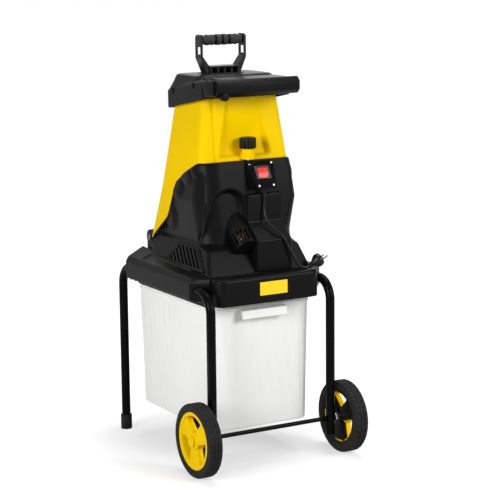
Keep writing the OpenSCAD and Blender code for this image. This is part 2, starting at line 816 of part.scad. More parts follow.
module rotor_shaft() {
    z0 = drum_end + end_t + 1;
    color([0.7, 0.7, 0.73]) tower() on_motor()
        translate([0, 0, z0]) cylinder(d = shaft_d, h = shaft_over - z0);
}
module rotor_core() {
    color([0.5, 0.42, 0.35]) tower() on_motor() translate([0, 0, core_z]) ring(core_d, shaft_d, core_l);
}
module commutator() {
    color([0.72, 0.45, 0.2]) tower() on_motor() translate([0, 0, com_z]) ring(com_d, shaft_d, com_l);
}
fan_z = -64;
fan_l = 18;
fan_d = 50;
fan_hub_d = shaft_d + 12;
module cooling_fan() {
    color([0.15, 0.15, 0.17]) tower() on_motor() translate([0, 0, fan_z]) difference() {
        union() {
            cylinder(d = fan_d, h = 3);
            cylinder(d = fan_hub_d, h = fan_l);
            for (i = [0 : 8]) rotate([0, 0, i * 40 + 20])
                translate([fan_hub_d / 2 - 2, -1.5, 1]) cube([(fan_d - fan_hub_d) / 2, 3, fan_l - 3]);
        }
        translate([0, 0, -cut]) cylinder(d = shaft_d, h = fan_l + 2 * cut);
    }
}
knife_in = 34;
knife_l = 56;
knife_w = 34;
knife_t = 4;
knife_bolt_d = 8;
module knife_places() {
    for (a = [0, 180]) rotate([0, 0, a]) translate([knife_in, -knife_w / 2, 0]) children();
}
module knife_holes() {
    for (x = [0.3, 0.7]) translate([knife_l * x, knife_w / 2, 0])
        cylinder(d = knife_bolt_d, h = 4 * disc_t, center = true);
}
module cutter_disc() {
    color([0.62, 0.63, 0.65]) tower() on_motor() difference() {
        translate([0, 0, -disc_t]) cylinder(d = disc_d, h = disc_t);
        translate([0, 0, -2 * disc_t]) cylinder(d = shaft_d, h = 3 * disc_t);
        knife_places() knife_holes();
        knife_places() translate([knife_l * 0.1, knife_w + 1, -2 * disc_t])
            cube([knife_l * 0.8, 10, 3 * disc_t]);
    }
}
module knives() {
    color([0.8, 0.8, 0.82]) tower() on_motor() knife_places() difference() {
        along_x(0, knife_l) polygon([[0, 0], [knife_w + 4, 0], [knife_w - 4, knife_t], [0, knife_t]]);
        knife_holes();
    }
}
module knife_bolts() {
    color([0.3, 0.3, 0.32]) tower() on_motor() knife_places() for (x = [0.3, 0.7])
        translate([knife_l * x, knife_w / 2, -disc_t]) {
            cylinder(d = knife_bolt_d, h = disc_t + knife_t);
            translate([0, 0, disc_t + knife_t]) cylinder(d = 13, h = 4, $fn = 6);
        }
}
module disc_nut() {
    color([0.3, 0.3, 0.32]) tower() on_motor() difference() {
        cylinder(d = shaft_d + 14, h = 11, $fn = 6);
        translate([0, 0, -cut]) cylinder(d = shaft_d, h = 20);
    }
}

// Hopper
function half_w(h) = hopper_top_w / 2 + (ring_ref - max(h, ring_mid)) * tan(hopper_draft);
function front_of(h) = hopper_front - (ring_ref - h) * tan(front_draft);
function rear_of(h) = h < ring_mid
    ? flare_rear + (rear_of(ring_mid) - flare_rear) * (h - ring_low) / (ring_mid - ring_low)
    : hopper_rear + (ring_ref - h) * tan(rear_draft);
function eight(h) = let (w = half_w(h), f = front_of(h), r = rear_of(h), c = hopper_chamfer) [
    [c - w, f], [w - c, f], [w, f + c], [w, r - c], [w - c, r], [c - w, r], [-w, r - c], [-w, f + c]];
module hopper_ring(h, d) { translate([0, 0, h]) linear_extrude(0.01) polygon(inset(eight(h), d)); }
module hopper_form(d) {
    hull() { hopper_ring(ring_low, d); hopper_ring(ring_mid, d); }
    hull() { hopper_ring(ring_mid, d); hopper_ring(ring_top, d); }
}
niche_gap = 3;
niche_low = boss_h - 14;
module niche(d) {
    on_lock(front_h + niche_low - d) cylinder(d = knob_d + 2 * niche_gap + 2 * d, h = knob_h + 30 + 2 * d);
}
lock_slack = 1.5;
module hopper_boss() {
    on_lock(front_h + seam_gap) {
        cylinder(d = boss_d, h = boss_h - seam_gap - screw_travel - lock_slack);
        cylinder(d = neck_d, h = boss_h - seam_gap + screw_travel - lock_slack);
    }
}
hood_side = hopper_top_w / 2 - 18;
hood_spots = [[-hood_side, -92], [hood_side, -92], [-hood_side - 3, 38], [hood_side + 3, 38]];
hood_boss_d = 18;
hood_boss_l = 22;
module hood_screw_places() { for (p = hood_spots) on_hood() translate([p.x, p.y, seat_w]) children(); }
lug_d = 34;
lug_up = 128;
module hinge_lugs() {
    both_sides() {
        x1 = knuckle_x - run_gap;
        translate([0, hinge_y, hinge_h]) x_bar(lug_d, x1 - lug_w, x1);
        along_x(x1 - lug_w, x1) polygon([
            [hinge_y, hinge_h - 4], [hinge_y + 13, hinge_h + 12], [rear_of(lug_up) + 1, lug_up],
            [rear_of(lug_up) - 2, lug_up], [rear_of(ring_low) - 2, ring_low + 2]]);
    }
}
module hopper_shell() {
    color([0.95, 0.78, 0.03]) tower() difference() {
        union() {
            difference() {
                hopper_form(0);
                hopper_form(hopper_wall);
                niche(0);
                both_sides() translate([0, hinge_y, hinge_h])
                    x_bar(knuckle_d + 4, knuckle_x - 1, knuckle_x + knuckle_w + 1);
            }
            intersection() {
                hopper_form(0);
                union() {
                    difference() { niche(hopper_wall); niche(0); }
                    hood_screw_places() translate([0, 0, -hood_boss_l])
                        cylinder(d = hood_boss_d, h = hood_boss_l);
                }
            }
            hopper_boss();
            hinge_lugs();
        }
        along_x(-300, 300) polygon(concat(
            [[300, -50], [300, 20], [housing_rear + 4, 20], [housing_rear + 4, 53]],
            [for (p = seam) p + [0, seam_gap]], [[-300, front_h + seam_gap], [-300, -50]]));
        on_hood() translate([-300, -300, seat_w]) cube([600, 600, 300]);
        on_lock(front_h) cylinder(d = screw_d + 2 * run_gap, h = boss_h + screw_travel + cut);
        translate([0, hinge_y, hinge_h]) x_bar(hinge_pin_d + 2 * bore_gap, -300, 300);
        hood_screw_places() translate([0, 0, cut - hood_boss_l]) cylinder(d = screw_shank, h = hood_boss_l);
    }
}

// Hood with its pull bar
hood_r = 30;
hood_lean = 4;
top_half = 107;
top_front = -95;
top_rear = 62;
function hood_outline(d) = rounded(d - hood_w / 2, hood_w / 2 - d, hood_front + d, hood_rear - d, hood_r - d);
module hood_level(w, d) { on_hood() translate([0, 0, w]) linear_extrude(0.01) polygon(hood_outline(d)); }
module hood_crown(d) {
    translate([0, 0, hood_top - d]) linear_extrude(0.01)
        polygon(rounded(d - top_half, top_half - d, top_front + d, top_rear - d, hood_r - d));
}
module hood_form(d) {
    low = d > 0 ? -cut : 0;
    hull() { hood_level(low, d); hood_level(skirt_h - d, d + hood_lean); }
    hull() { hood_level(skirt_h - d, d + hood_lean); hood_crown(d); }
}
seat_half = 96;
seat_front = -92;
seat_rear = 44;
seat_r = 38;
chute_w = 3;
throat_l = 45;
module throat(d, h0, h1) {
    translate([-slot_w / 2 - d, -slot_d / 2 - d, h0]) cube([slot_w + 2 * d, slot_d + 2 * d, h1 - h0]);
}
bar_chamfer = 11;
function bar_outline(d) = let (a = bar_d / 2 - d, b = bar_h / 2 - d, c = bar_chamfer - d / 2) [
    for (p = [
        [c - a, -b], [a - c, -b], [a, c - b], [a, b - c], [a - c, b], [c - a, b], [-a, b - c], [-a, c - b]])
        [bar_y, bar_z] + p];
bar_half = bar_l / 2 - bar_cap_t;
web_half = 104;
web_t2 = 6;
module hood() {
    bar_top = bar_z + bar_h / 2;
    color([0.12, 0.12, 0.12]) tower() difference() {
        union() {
            difference() { hood_form(0); hood_form(hood_wall); }
            on_hood() translate([0, 0, seat_w]) linear_extrude(seat_t) difference() {
                polygon(hood_outline(hood_wall / 2 + 1));
                polygon(rounded(-seat_half, seat_half, seat_front, seat_rear, seat_r));
            }
            throat(chute_w, hood_top - throat_l, hood_top - hood_wall / 2);
            difference() {
                union() {
                    along_x(-bar_half, bar_half) polygon(bar_outline(0));
                    along_x(-web_half, web_half) polygon([
                        [bar_y, bar_top - web_t2], [top_front - 20, bar_top - web_t2],
                        [top_front - 20, bar_top], [bar_y, bar_top]]);
                }
                along_x(-bar_half - cut, bar_half + cut) polygon(bar_outline(hood_wall));
            }
        }
        throat(0, hood_top - 2 * throat_l, hood_top + cut);
        hood_screw_places() translate([0, 0, -cut]) cylinder(d = screw_shank + 2 * fit, h = seat_t + 2 * cut);
    }
}
module bar_end_caps() {
    color([0.1, 0.1, 0.1]) tower() both_sides()
        along_x(bar_half, bar_half + bar_cap_t) polygon(bar_outline(0));
}
module hood_screws() {
    color([0.7, 0.7, 0.72]) tower() hood_screw_places() {
        translate([0, 0, 4 - hood_boss_l]) cylinder(d = screw_shank, h = hood_boss_l + seat_t - 4);
        translate([0, 0, seat_t]) cylinder(d = screw_head_d, h = screw_head_h);
    }
}

// Push tool
tool_half = slot_w / 2 - tool_gap;
tool_d = slot_d - 2 * tool_gap;
arm_t = 7;
arm_w = 32;
arm_foot = hood_top + run_gap;
grip_h = hood_top + handle_h - grip_d / 2;
pocket_cols = 4;
pocket_rows = 6;
pocket_rib = 5;
module push_arm() {
    out = handle_w / 2;
    bend = hood_top + 42;
    along_y(-arm_w / 2, arm_w / 2) polygon([
        [tool_half - 20, arm_foot - 6], [tool_half - 0.1, arm_foot - 6], [tool_half - 0.1, arm_foot],
        [slot_w / 2 + 4, arm_foot], [out, bend], [out, hood_top + handle_h - 5],
        [out - 5, hood_top + handle_h], [out - arm_t, hood_top + handle_h], [out - arm_t, bend + 4],
        [tool_half, arm_foot + 20],
        [tool_half - 20, arm_foot + 20]]);
}
module push_tool() {
    low = hood_top - shank_l;
    high = arm_foot + 20;
    cell_w = (2 * tool_half - pocket_rib) / pocket_cols;
    cell_h = (high - low - pocket_rib) / pocket_rows;
    pocket_d = tool_d / 2 - 4;
    window_low = hood_top + 52;
    color([0.15, 0.15, 0.16]) tower() difference() {
        union() {
            translate([-tool_half, -tool_d / 2, low]) cube([2 * tool_half, tool_d, high - low]);
            both_sides() push_arm();
            translate([0, 0, grip_h]) x_bar(grip_core_d, arm_t - handle_w / 2, handle_w / 2 - arm_t);
        }
        for (i = [0 : pocket_cols - 1], k = [0 : pocket_rows - 1], side = [-1, 1])
            translate([-tool_half + pocket_rib + i * cell_w,
                       side < 0 ? -tool_d / 2 - cut : tool_d / 2 - pocket_d,
                       low + pocket_rib + k * cell_h])
                cube([cell_w - pocket_rib, pocket_d + cut, cell_h - pocket_rib]);
        translate([-handle_w, 4 - arm_w / 2, window_low])
            cube([2 * handle_w, arm_w - 8, grip_h - grip_core_d - window_low]);
    }
}
module push_tool_grip() {
    groove_w = 7;
    half = handle_w / 2 - arm_t - 4;
    color([0.3, 0.3, 0.31]) tower() translate([0, 0, grip_h]) difference() {
        x_bar(grip_d, -half, half);
        x_bar(grip_core_d, -half - cut, half + cut);
        for (x = [-20, 0, 20]) translate([x - groove_w / 2, 0, 0]) difference() {
            x_bar(grip_d + cut, 0, groove_w);
            x_bar(grip_d - 4, -cut, groove_w + cut);
        }
    }
}

// Switch, cord and plug
body_w = rocker_w + 6;
body_h = rocker_h + 6;
body_gap = 0.5;
body_y = 6;
pivot_z = plate_thick + bezel_t - rocker_pivot;
plate_margin = 8;
switch_shape = [
    [-switch_foot_w / 2, -switch_h / 2], [switch_foot_w / 2, -switch_h / 2],
    [switch_w / 2, switch_h / 2], [-switch_w / 2, switch_h / 2]];
module centred_box(w, h, z0, z1) { translate([-w / 2, body_y - h / 2, z0]) cube([w, h, z1 - z0]); }
module switch_pocket(d) {
    on_switch() centred_box(body_w + 2 * d, body_h + 2 * d, -body_depth - d, plate_thick + cut);
}
module plate_screw_places() { for (p = inset(switch_shape, plate_margin)) translate(p) children(); }
plate_screw_d = 3;
plate_screw_l = 10;
module plate_screw_holes() {
    on_switch() plate_screw_places() translate([0, 0, -plate_screw_l - cut])
        cylinder(d = plate_screw_d, h = plate_screw_l + 2 * cut);
}
module switch_box() {
    color([0.1, 0.1, 0.1]) tower() difference() {
        on_switch() translate([0, 0, -60]) linear_extrude(60) polygon(inset(switch_shape, -1));
        housing_form(-fit / 2);
        service_form(-fit / 2);
        translate([-200, -300, switch_floor - 200]) cube([400, 400, 200]);
        switch_pocket(body_gap);
        plate_screw_holes();
    }
}
module switch_plate() {
    color([0.08, 0.08, 0.08]) tower() on_switch() difference() {
        linear_extrude(plate_thick) polygon(switch_shape);
        translate([0, 0, -cut])
            centred_box(body_w + 2 * bore_gap, body_h + 2 * bore_gap, 0, plate_thick + 2 * cut);
        plate_screw_places() translate([0, 0, -cut])
            cylinder(d = plate_screw_d + fit, h = plate_thick + 2 * cut);
    }
}
module switch_screws() {
    color([0.8, 0.8, 0.82]) tower() on_switch() plate_screw_places() {
        translate([0, 0, -plate_screw_l]) cylinder(d = plate_screw_d, h = plate_screw_l + plate_thick);
        translate([0, 0, plate_thick]) cylinder(d = 6, h = 1.8);
    }
}
rocker_swing = 1;
module rocker_pivots(d, over) {
    translate([0, body_y, pivot_z]) x_bar(d, -rocker_w / 2 - over, rocker_w / 2 + over);
}
module switch_body() {
    color([0.75, 0.77, 0.78]) tower() on_switch() difference() {
        union() {
            centred_box(body_w, body_h, -body_depth, plate_thick);
            centred_box(bezel_w, bezel_h, plate_thick, plate_thick + bezel_t);
        }
        centred_box(rocker_w + 2 * rocker_swing, rocker_h + 2 * rocker_swing, -14,
                    plate_thick + bezel_t + cut);
        rocker_pivots(3 + 2 * bore_gap, 2.4);
    }
}
module rocker() {
    half = rocker_h / 2;
    color([0.85, 0.12, 0.08]) tower() on_switch() {
        translate([0, body_y, pivot_z]) rotate([rocker_throw / 2, 0, 0]) along_x(-rocker_w / 2, rocker_w / 2)
            polygon([[-half + 0.6, 5], [0, 8], [half - 0.6, 5], [half - 4, -5], [0, -8], [4 - half, -5]]);
        rocker_pivots(3, 2);
    }
}
module cord_gland() {
    color([0.07, 0.07, 0.07]) tower() translate([switch_x, gland_y, switch_floor - gland_l])
        cylinder(d1 = cord_d + 2, d2 = gland_d, h = gland_l);
}
plug_axis = [cos(plug_tilt), 0, sin(plug_tilt)];
cord_sides = 10;
function cord_dir(i) = i == 0 ? [0, 0, -1] : i == len(cord_route) - 1 ? plug_axis
    : unit(unit(cord_route[i + 1] - cord_route[i]) + unit(cord_route[i] - cord_route[i - 1]));
function cord_ring(i) = let (t = cord_dir(i), u = unit(cross(t, [0, 1, 0])), v = cross(t, u)) [
    for (k = [0 : cord_sides - 1]) let (a = 360 * k / cord_sides)
        cord_route[i] + cord_d / 2 * (cos(a) * u + sin(a) * v)];
module cord() {
    n = len(cord_route);
    m = cord_sides;
    sides = [for (i = [0 : n - 2], k = [0 : m - 1]) let (a = i * m + k, b = i * m + (k + 1) % m)
        each [[a, b + m, b], [a, a + m, b + m]]];
    start = [for (k = [1 : m - 2]) [0, k, k + 1]];
    end = [for (k = [1 : m - 2]) [(n - 1) * m, (n - 1) * m + k + 1, (n - 1) * m + k]];
    color([0.06, 0.06, 0.06])
        polyhedron([for (i = [0 : n - 1]) each cord_ring(i)], concat(sides, start, end));
}
module on_plug() { translate(plug_at) rotate([0, 90 - plug_tilt, 0]) children(); }
plug_l = plug_cone_l + plug_disc_l;
module plug() {
    color([0.07, 0.07, 0.07]) on_plug() {
        cylinder(r1 = plug_tail_r, r2 = plug_r, h = plug_cone_l);
        translate([0, 0, plug_cone_l]) cylinder(r = plug_r, h = plug_disc_l);
    }
}
module plug_pins() {
    color([0.75, 0.75, 0.77]) on_plug() for (side = [-1, 1])
        translate([0, side * pin_pitch / 2, plug_l]) cylinder(d = pin_d, h = pin_l);
}

// Lock
knob_low = front_h + boss_h;
knob_roof = 9;
knob_bore = neck_d + 1.4;
module thrust_washer() {
    color([0.75, 0.75, 0.77]) tower() on_lock(knob_low + knob_h - knob_roof - washer_t - run_gap)
        ring(neck_d - 4, screw_d + 2 * bore_gap, washer_t);
}
module lock_knob() {
    rib_d = 4;
    color([0.09, 0.09, 0.09]) tower() on_lock(knob_low) difference() {
        union() {
            cylinder(d = knob_d - rib_d / 2, h = knob_h);
            for (i = [0 : knob_ribs - 1]) rotate([0, 0, i * 360 / knob_ribs])
                translate([knob_d / 2 - rib_d / 2, 0, 0]) cylinder(d = rib_d, h = knob_h - 3, $fn = 16);
        }
        translate([0, 0, -cut]) cylinder(d = knob_bore, h = knob_h - knob_roof + cut);
        translate([0, 0, -cut]) cylinder(d = screw_d, h = knob_h - 3);
    }
}
module lock_screw() {
    tip = front_h + seam_gap + 0.4;
    color([0.72, 0.72, 0.74]) tower() on_lock(tip) cylinder(d = screw_d, h = knob_low + knob_h - 4 - tip);
}

base_deck();
left_frame_tube();
right_frame_tube();
rear_feet();
axle();
axle_collars();
wheel_caps();
bin_rails();
rating_plate();
frame_bolts();
motor_housing();
left_vent_grille();
right_vent_grille();
motor_drum();
bearing_plate();
motor_stator();
upper_bearing();
lower_bearing();
brush_holders();
discharge_chute();
housing_screws();
hinge_brackets();
hinge_pins();
lock_insert();
interlock_switch();
switch_box();
switch_plate();
switch_body();
switch_screws();
cord_gland();
cord();
plug();
plug_pins();
rotor_shaft();
rotor_core();
commutator();
cooling_fan();
cutter_disc();
knives();
knife_bolts();
disc_nut();
left_tyre();
left_hub();
right_tyre();
right_hub();
collection_bin();
hopper_shell();
hood();
bar_end_caps();
hood_screws();
thrust_washer();
lock_knob();
lock_screw();
push_tool();
push_tool_grip();
rocker();
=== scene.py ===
"""Looks of a garden shredder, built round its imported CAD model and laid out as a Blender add-on."""

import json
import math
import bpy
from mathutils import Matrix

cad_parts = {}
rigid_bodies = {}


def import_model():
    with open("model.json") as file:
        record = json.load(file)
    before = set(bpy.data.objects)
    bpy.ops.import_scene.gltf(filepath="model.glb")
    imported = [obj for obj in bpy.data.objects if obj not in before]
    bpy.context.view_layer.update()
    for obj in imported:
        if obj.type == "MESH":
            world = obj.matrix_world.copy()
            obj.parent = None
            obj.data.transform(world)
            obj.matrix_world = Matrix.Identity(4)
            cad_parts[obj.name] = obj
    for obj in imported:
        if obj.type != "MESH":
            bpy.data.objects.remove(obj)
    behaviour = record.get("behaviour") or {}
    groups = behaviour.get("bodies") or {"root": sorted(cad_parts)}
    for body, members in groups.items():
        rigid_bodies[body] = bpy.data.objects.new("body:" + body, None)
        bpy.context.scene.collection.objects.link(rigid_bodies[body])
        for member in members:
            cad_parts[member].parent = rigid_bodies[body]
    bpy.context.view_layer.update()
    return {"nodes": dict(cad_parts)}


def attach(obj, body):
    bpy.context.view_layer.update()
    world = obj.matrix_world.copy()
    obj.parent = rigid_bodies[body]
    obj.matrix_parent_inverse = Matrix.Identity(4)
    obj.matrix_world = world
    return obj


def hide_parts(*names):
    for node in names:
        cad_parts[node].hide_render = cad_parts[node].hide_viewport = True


bl_info = {
    "name": "Garden shredder",
    "version": (1, 0, 0),
    "blender": (4, 5, 0),
    "location": "View3D > Sidebar > Shredder",
    "description": "Dresses a garden shredder's CAD frame with moulded plastic, rubber, paint and steel",
    "category": "Object",
}

import bmesh
import bpy
import numpy as np
from mathutils import Matrix, Vector

for leftover in list(bpy.data.objects):
    bpy.data.objects.remove(leftover)
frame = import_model()

# Lengths below are in millimetres, unless said to be in metres. The tower's frame has its origin on the
# deck's top, midway between the legs.
MM = 0.001
TOWER = np.array([0.0, 42.0, 520.0])
# Faces that meet at less than the first angle are shaded as one, and edges above the second are eased
SMOOTH_ANGLE = math.radians(32)
EASED_ANGLE = math.radians(40)
# Points this close together are one, in metres
WELD = 1e-6


def tower(points):
    """Points of the tower's frame, in millimetres, as metres in the object's frame."""
    return (np.asarray(points, float) + TOWER) * MM


def ground(points):
    """Points above the ground, in millimetres, as metres in the object's frame."""
    return np.asarray(points, float) * MM


def ease(t):
    """Smooth step: 3t^2 - 2t^3, held to 0 and 1 outside the unit range."""
    t = np.clip(t, 0, 1)
    return t * t * (3 - 2 * t)


def between(value, low, high, soft):
    """1 from low to high, easing to 0 over a width of soft centred on each limit."""
    return ease((value - low) / soft + 0.5) * ease((high - value) / soft + 0.5)


def unit(v):
    """Vectors along the last axis, scaled to length 1."""
    return v / np.linalg.norm(v, axis=-1, keepdims=True)


def rounded(points, radius, steps=5):
    """Polygon with arcs for corners: each corner is a rational quadratic curve between its tangent points,
    which lie radius / tan(half angle) from it, with the sine of the half angle as middle weight."""
    p = np.asarray(points, float)
    r = np.broadcast_to(np.asarray(radius, float), len(p))[:, None]
    back, ahead = np.roll(p, 1, 0) - p, np.roll(p, -1, 0) - p
    room = 0.49 * np.minimum(np.linalg.norm(back, axis=1), np.linalg.norm(ahead, axis=1))[:, None]
    back, ahead = unit(back), unit(ahead)
    half = np.arccos(np.clip((back * ahead).sum(1), -1, 1))[:, None] / 2
    reach = np.minimum(r / np.tan(half), room)
    s = np.linspace(0, 1, steps + 1)[None, :, None]
    first, last = (p + back * reach)[:, None], (p + ahead * reach)[:, None]
    a, b, c = (1 - s) ** 2, 2 * s * (1 - s) * np.sin(half)[:, None], s**2
    return ((a * first + b * p[:, None] + c * last) / (a + b + c)).reshape(-1, 2)


def rectangle(x0, x1, y0, y1, radius, steps=5):
    """Rectangle with round corners, anticlockwise from its lower right corner."""
    return rounded([[x1, y0], [x1, y1], [x0, y1], [x0, y0]], radius, steps)


def inset(outline, depth):
    """Anticlockwise outline moved inwards by depth along the mitred normal of each point."""
    u = unit(outline - np.roll(outline, 1, 0))
    v = unit(np.roll(outline, -1, 0) - outline)
    a, b = np.stack([-u[:, 1], u[:, 0]], 1), np.stack([-v[:, 1], v[:, 0]], 1)
    return outline + depth * (a + b) / np.maximum(1 + (a * b).sum(1, keepdims=True), 0.3)


def angles(count):
    """Equal steps of a full turn, in radians."""
    return np.linspace(0, 2 * math.pi, count, endpoint=False)


def circle(radius, count=48, centre=(0, 0)):
    """Points of a circle: centre + radius (cos a, sin a)."""
    a = angles(count)
    return np.stack([centre[0] + radius * np.cos(a), centre[1] + radius * np.sin(a)], 1)


def resampled(outline, count):
    """Closed outline at count points of equal spacing along its length."""
    closed = np.vstack([outline, outline[:1]])
    run = np.concatenate([[0], np.cumsum(np.linalg.norm(np.diff(closed, axis=0), axis=1))])
    at = np.linspace(0, run[-1], count, endpoint=False)
    return np.stack([np.interp(at, run, closed[:, k]) for k in (0, 1)], 1)


def loft(rings, ends=(True, True), closed=True):
    """Skin over rings[i, k], point k of ring i, as points and blocks of faces with equal corner counts. The
    first block holds the quads, and each end can be closed with one face more."""
    rings = np.asarray(rings, float)
    n, m = rings.shape[:2]
    i, k = np.meshgrid(np.arange(n - 1), np.arange(m if closed else m - 1), indexing="ij")
    quads = np.stack([i * m + k, i * m + (k + 1) % m, (i + 1) * m + (k + 1) % m, (i + 1) * m + k], -1)
    faces = [quads.reshape(-1, 4)]
    if ends[0]:
        faces.append(np.arange(m)[None, ::-1])
    if ends[1]:
        faces.append(np.arange((n - 1) * m, n * m)[None])
    return rings.reshape(-1, 3), faces


def joined(*shapes):
    """Several shapes, each points and faces, as one."""
    starts = np.cumsum([0] + [len(points) for points, _ in shapes])
    faces = [block + start for start, (_, blocks) in zip(starts, shapes) for block in blocks]
    return np.vstack([points for points, _ in shapes]), faces


def turned_ring(axis, outline, along):
    """Outline points (u, v) at the distance along an axis: X takes (y, z), Y takes (x, z), Z takes (x, y)."""
    flat = np.full((len(outline), 1), along)
    order = {"X": (0, 1, 2), "Y": (1, 0, 2), "Z": (1, 2, 0)}[axis]
    columns = [flat, outline[:, :1], outline[:, 1:]]
    return np.hstack([columns[j] for j in order])


def stacked(axis, outline, steps):
    """Rings of an outline along an axis, for steps of how far it is inset and where it lies."""
    return [turned_ring(axis, inset(outline, depth), along) for depth, along in steps]


def prism(outline, low, high, axis, edge=2.0, steps=3):
    """Outline carried along an axis from low to high, with both rims rounded: the rim at angle a is inset by
    edge (1 - sin a) and set in by edge (1 - cos a)."""
    a = np.linspace(0, math.pi / 2, steps + 1)
    insets, depths = edge * (1 - np.sin(a)), edge * (1 - np.cos(a))
    foot = stacked(axis, outline, zip(insets, low + depths))
    return loft(foot + stacked(axis, outline, zip(insets[::-1], high - depths[::-1])))


def lathe(profile, count=48, share=None, cut=None):
    """Profile of [radius, z] turned about Z: (r cos a, r sin a, z). Ends with a radius are closed with a
    face, unless the profile comes back to its start. cut(a) times a point's share is taken off its radius."""
    p = np.asarray(profile, float)
    opened = not np.allclose(p[0], p[-1])
    a = angles(count)
    r = p[:, :1] if cut is None else p[:, :1] - np.asarray(share)[:, None] * cut(a)
    rings = np.stack([r * np.cos(a), r * np.sin(a), np.repeat(p[:, 1:], count, 1)], -1)
    return loft(rings, ends=(opened and p[0, 0] > 0, opened and p[-1, 0] > 0))


def moved(shape, turn=(0, 0, 0), by=(0, 0, 0)):
    """Shape turned by degrees about X, then Y, then Z, and moved."""
    points, faces = shape
    spin = Matrix.Identity(3)
    for angle, axis in zip(turn, "XYZ"):
        spin = Matrix.Rotation(math.radians(angle), 3, axis) @ spin
    return points @ np.array(spin).T + np.asarray(by, float), faces


def mirrored(shape, signs=(-1, 1, 1)):
    """Shape with the sign of one axis changed, from right to left if not said, and its faces turned back."""
    points, faces = shape
    return points * signs, [block[:, ::-1] for block in faces]


def smooth_path(points, per_span=8):
    """Catmull-Rom curve through the points: on each span the cubic with tangents (next - previous) / 2."""
    p = np.asarray(points, float)
    p = np.vstack([2 * p[0] - p[1], p, 2 * p[-1] - p[-2]])
    t = np.linspace(0, 1, per_span, endpoint=False)[None, :, None]
    a, b, c, d = (p[k : len(p) - 3 + k, None] for k in range(4))
    spans = 0.5 * (2 * b + (c - a) * t + (2 * a - 5 * b + 4 * c - d) * t**2 + (3 * b - a - 3 * c + d) * t**3)
    return np.vstack([spans.reshape(-1, 3), p[-2]])


def tube(path, radius, count=16):
    """Circle of a radius, or of one radius a point, carried along a path, square to it. It starts from the
    side that is square to the path and to a fixed direction, which no path here takes."""
    path = np.asarray(path, float)
    along = unit(np.gradient(path, axis=0))
    side = unit(np.cross(along, [0.0, 1.0, 0.013]))
    rise = np.cross(along, side)
    a = angles(count)[None, :, None]
    r = np.broadcast_to(np.asarray(radius, float), len(path))[:, None, None]
    return loft(path[:, None] + r * (np.cos(a) * side[:, None] + np.sin(a) * rise[:, None]))


def made(name, shape, slot, body, *stands_for, place=tower, outward=True):
    """Object of a shape with its slot's finish, riding on a CAD body and standing for CAD nodes. place turns
    the shape's millimetres into metres, and outward turns its faces to the outside."""
    points, faces = shape
    mesh = bpy.data.meshes.new(name)
    mesh.from_pydata(place(points).tolist(), [], [face for block in faces for face in block.tolist()])
    work = bmesh.new()
    work.from_mesh(mesh)
    bmesh.ops.remove_doubles(work, verts=work.verts, dist=WELD)
    if outward:
        bmesh.ops.recalc_face_normals(work, faces=work.faces)
    work.to_mesh(mesh)
    work.free()
    mesh.polygons.foreach_set("use_smooth", np.ones(len(mesh.polygons), bool))
    mesh.set_sharp_from_angle(angle=SMOOTH_ANGLE)
    mesh.materials.append(finish(slot))
    obj = bpy.data.objects.new(name, mesh)
    bpy.context.scene.collection.objects.link(obj)
    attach(obj, body)
    if stands_for:
        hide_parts(*stands_for)
    return obj


def thicken(obj, thickness):
    """Wall of a thickness in metres, built inwards from the surface."""
    solid = obj.modifiers.new("Wall", "SOLIDIFY")
    solid.thickness = thickness
    solid.offset = -1
    solid.use_even_offset = True


def dress(slot, *nodes, bevel=0.0):
    """Gives CAD nodes a slot's finish, welds their triangles and eases their edges by a width in metres."""
    for name in nodes:
        obj = frame["nodes"][name]
        obj.data.materials.clear()
        obj.data.materials.append(finish(slot))
        weld = obj.modifiers.new("Weld", "WELD")
        weld.merge_threshold = WELD
        if bevel:
            edges = obj.modifiers.new("Edges", "BEVEL")
            edges.width = bevel
            edges.segments = 2
            edges.limit_method = "ANGLE"
            edges.angle_limit = EASED_ANGLE
            edges.harden_normals = True


class Signal:
    """A shader socket in a Python expression: each operation on it adds one Math node."""

    def __init__(self, finish, socket):
        self.finish = finish
        self.socket = socket

    def math(self, operation, *values):
        return self.finish.node("ShaderNodeMath", {"operation": operation}, dict(enumerate(values)))

    def __add__(self, other):
        return self.math("ADD", self, other)

    def __sub__(self, other):
        return self.math("SUBTRACT", self, other)

    def __rsub__(self, other):
        return self.math("SUBTRACT", other, self)

    def __mul__(self, other):
        return self.math("MULTIPLY", self, other)

    def __pow__(self, other):
        return self.math("POWER", self, other)

    __radd__ = __add__
    __rmul__ = __mul__


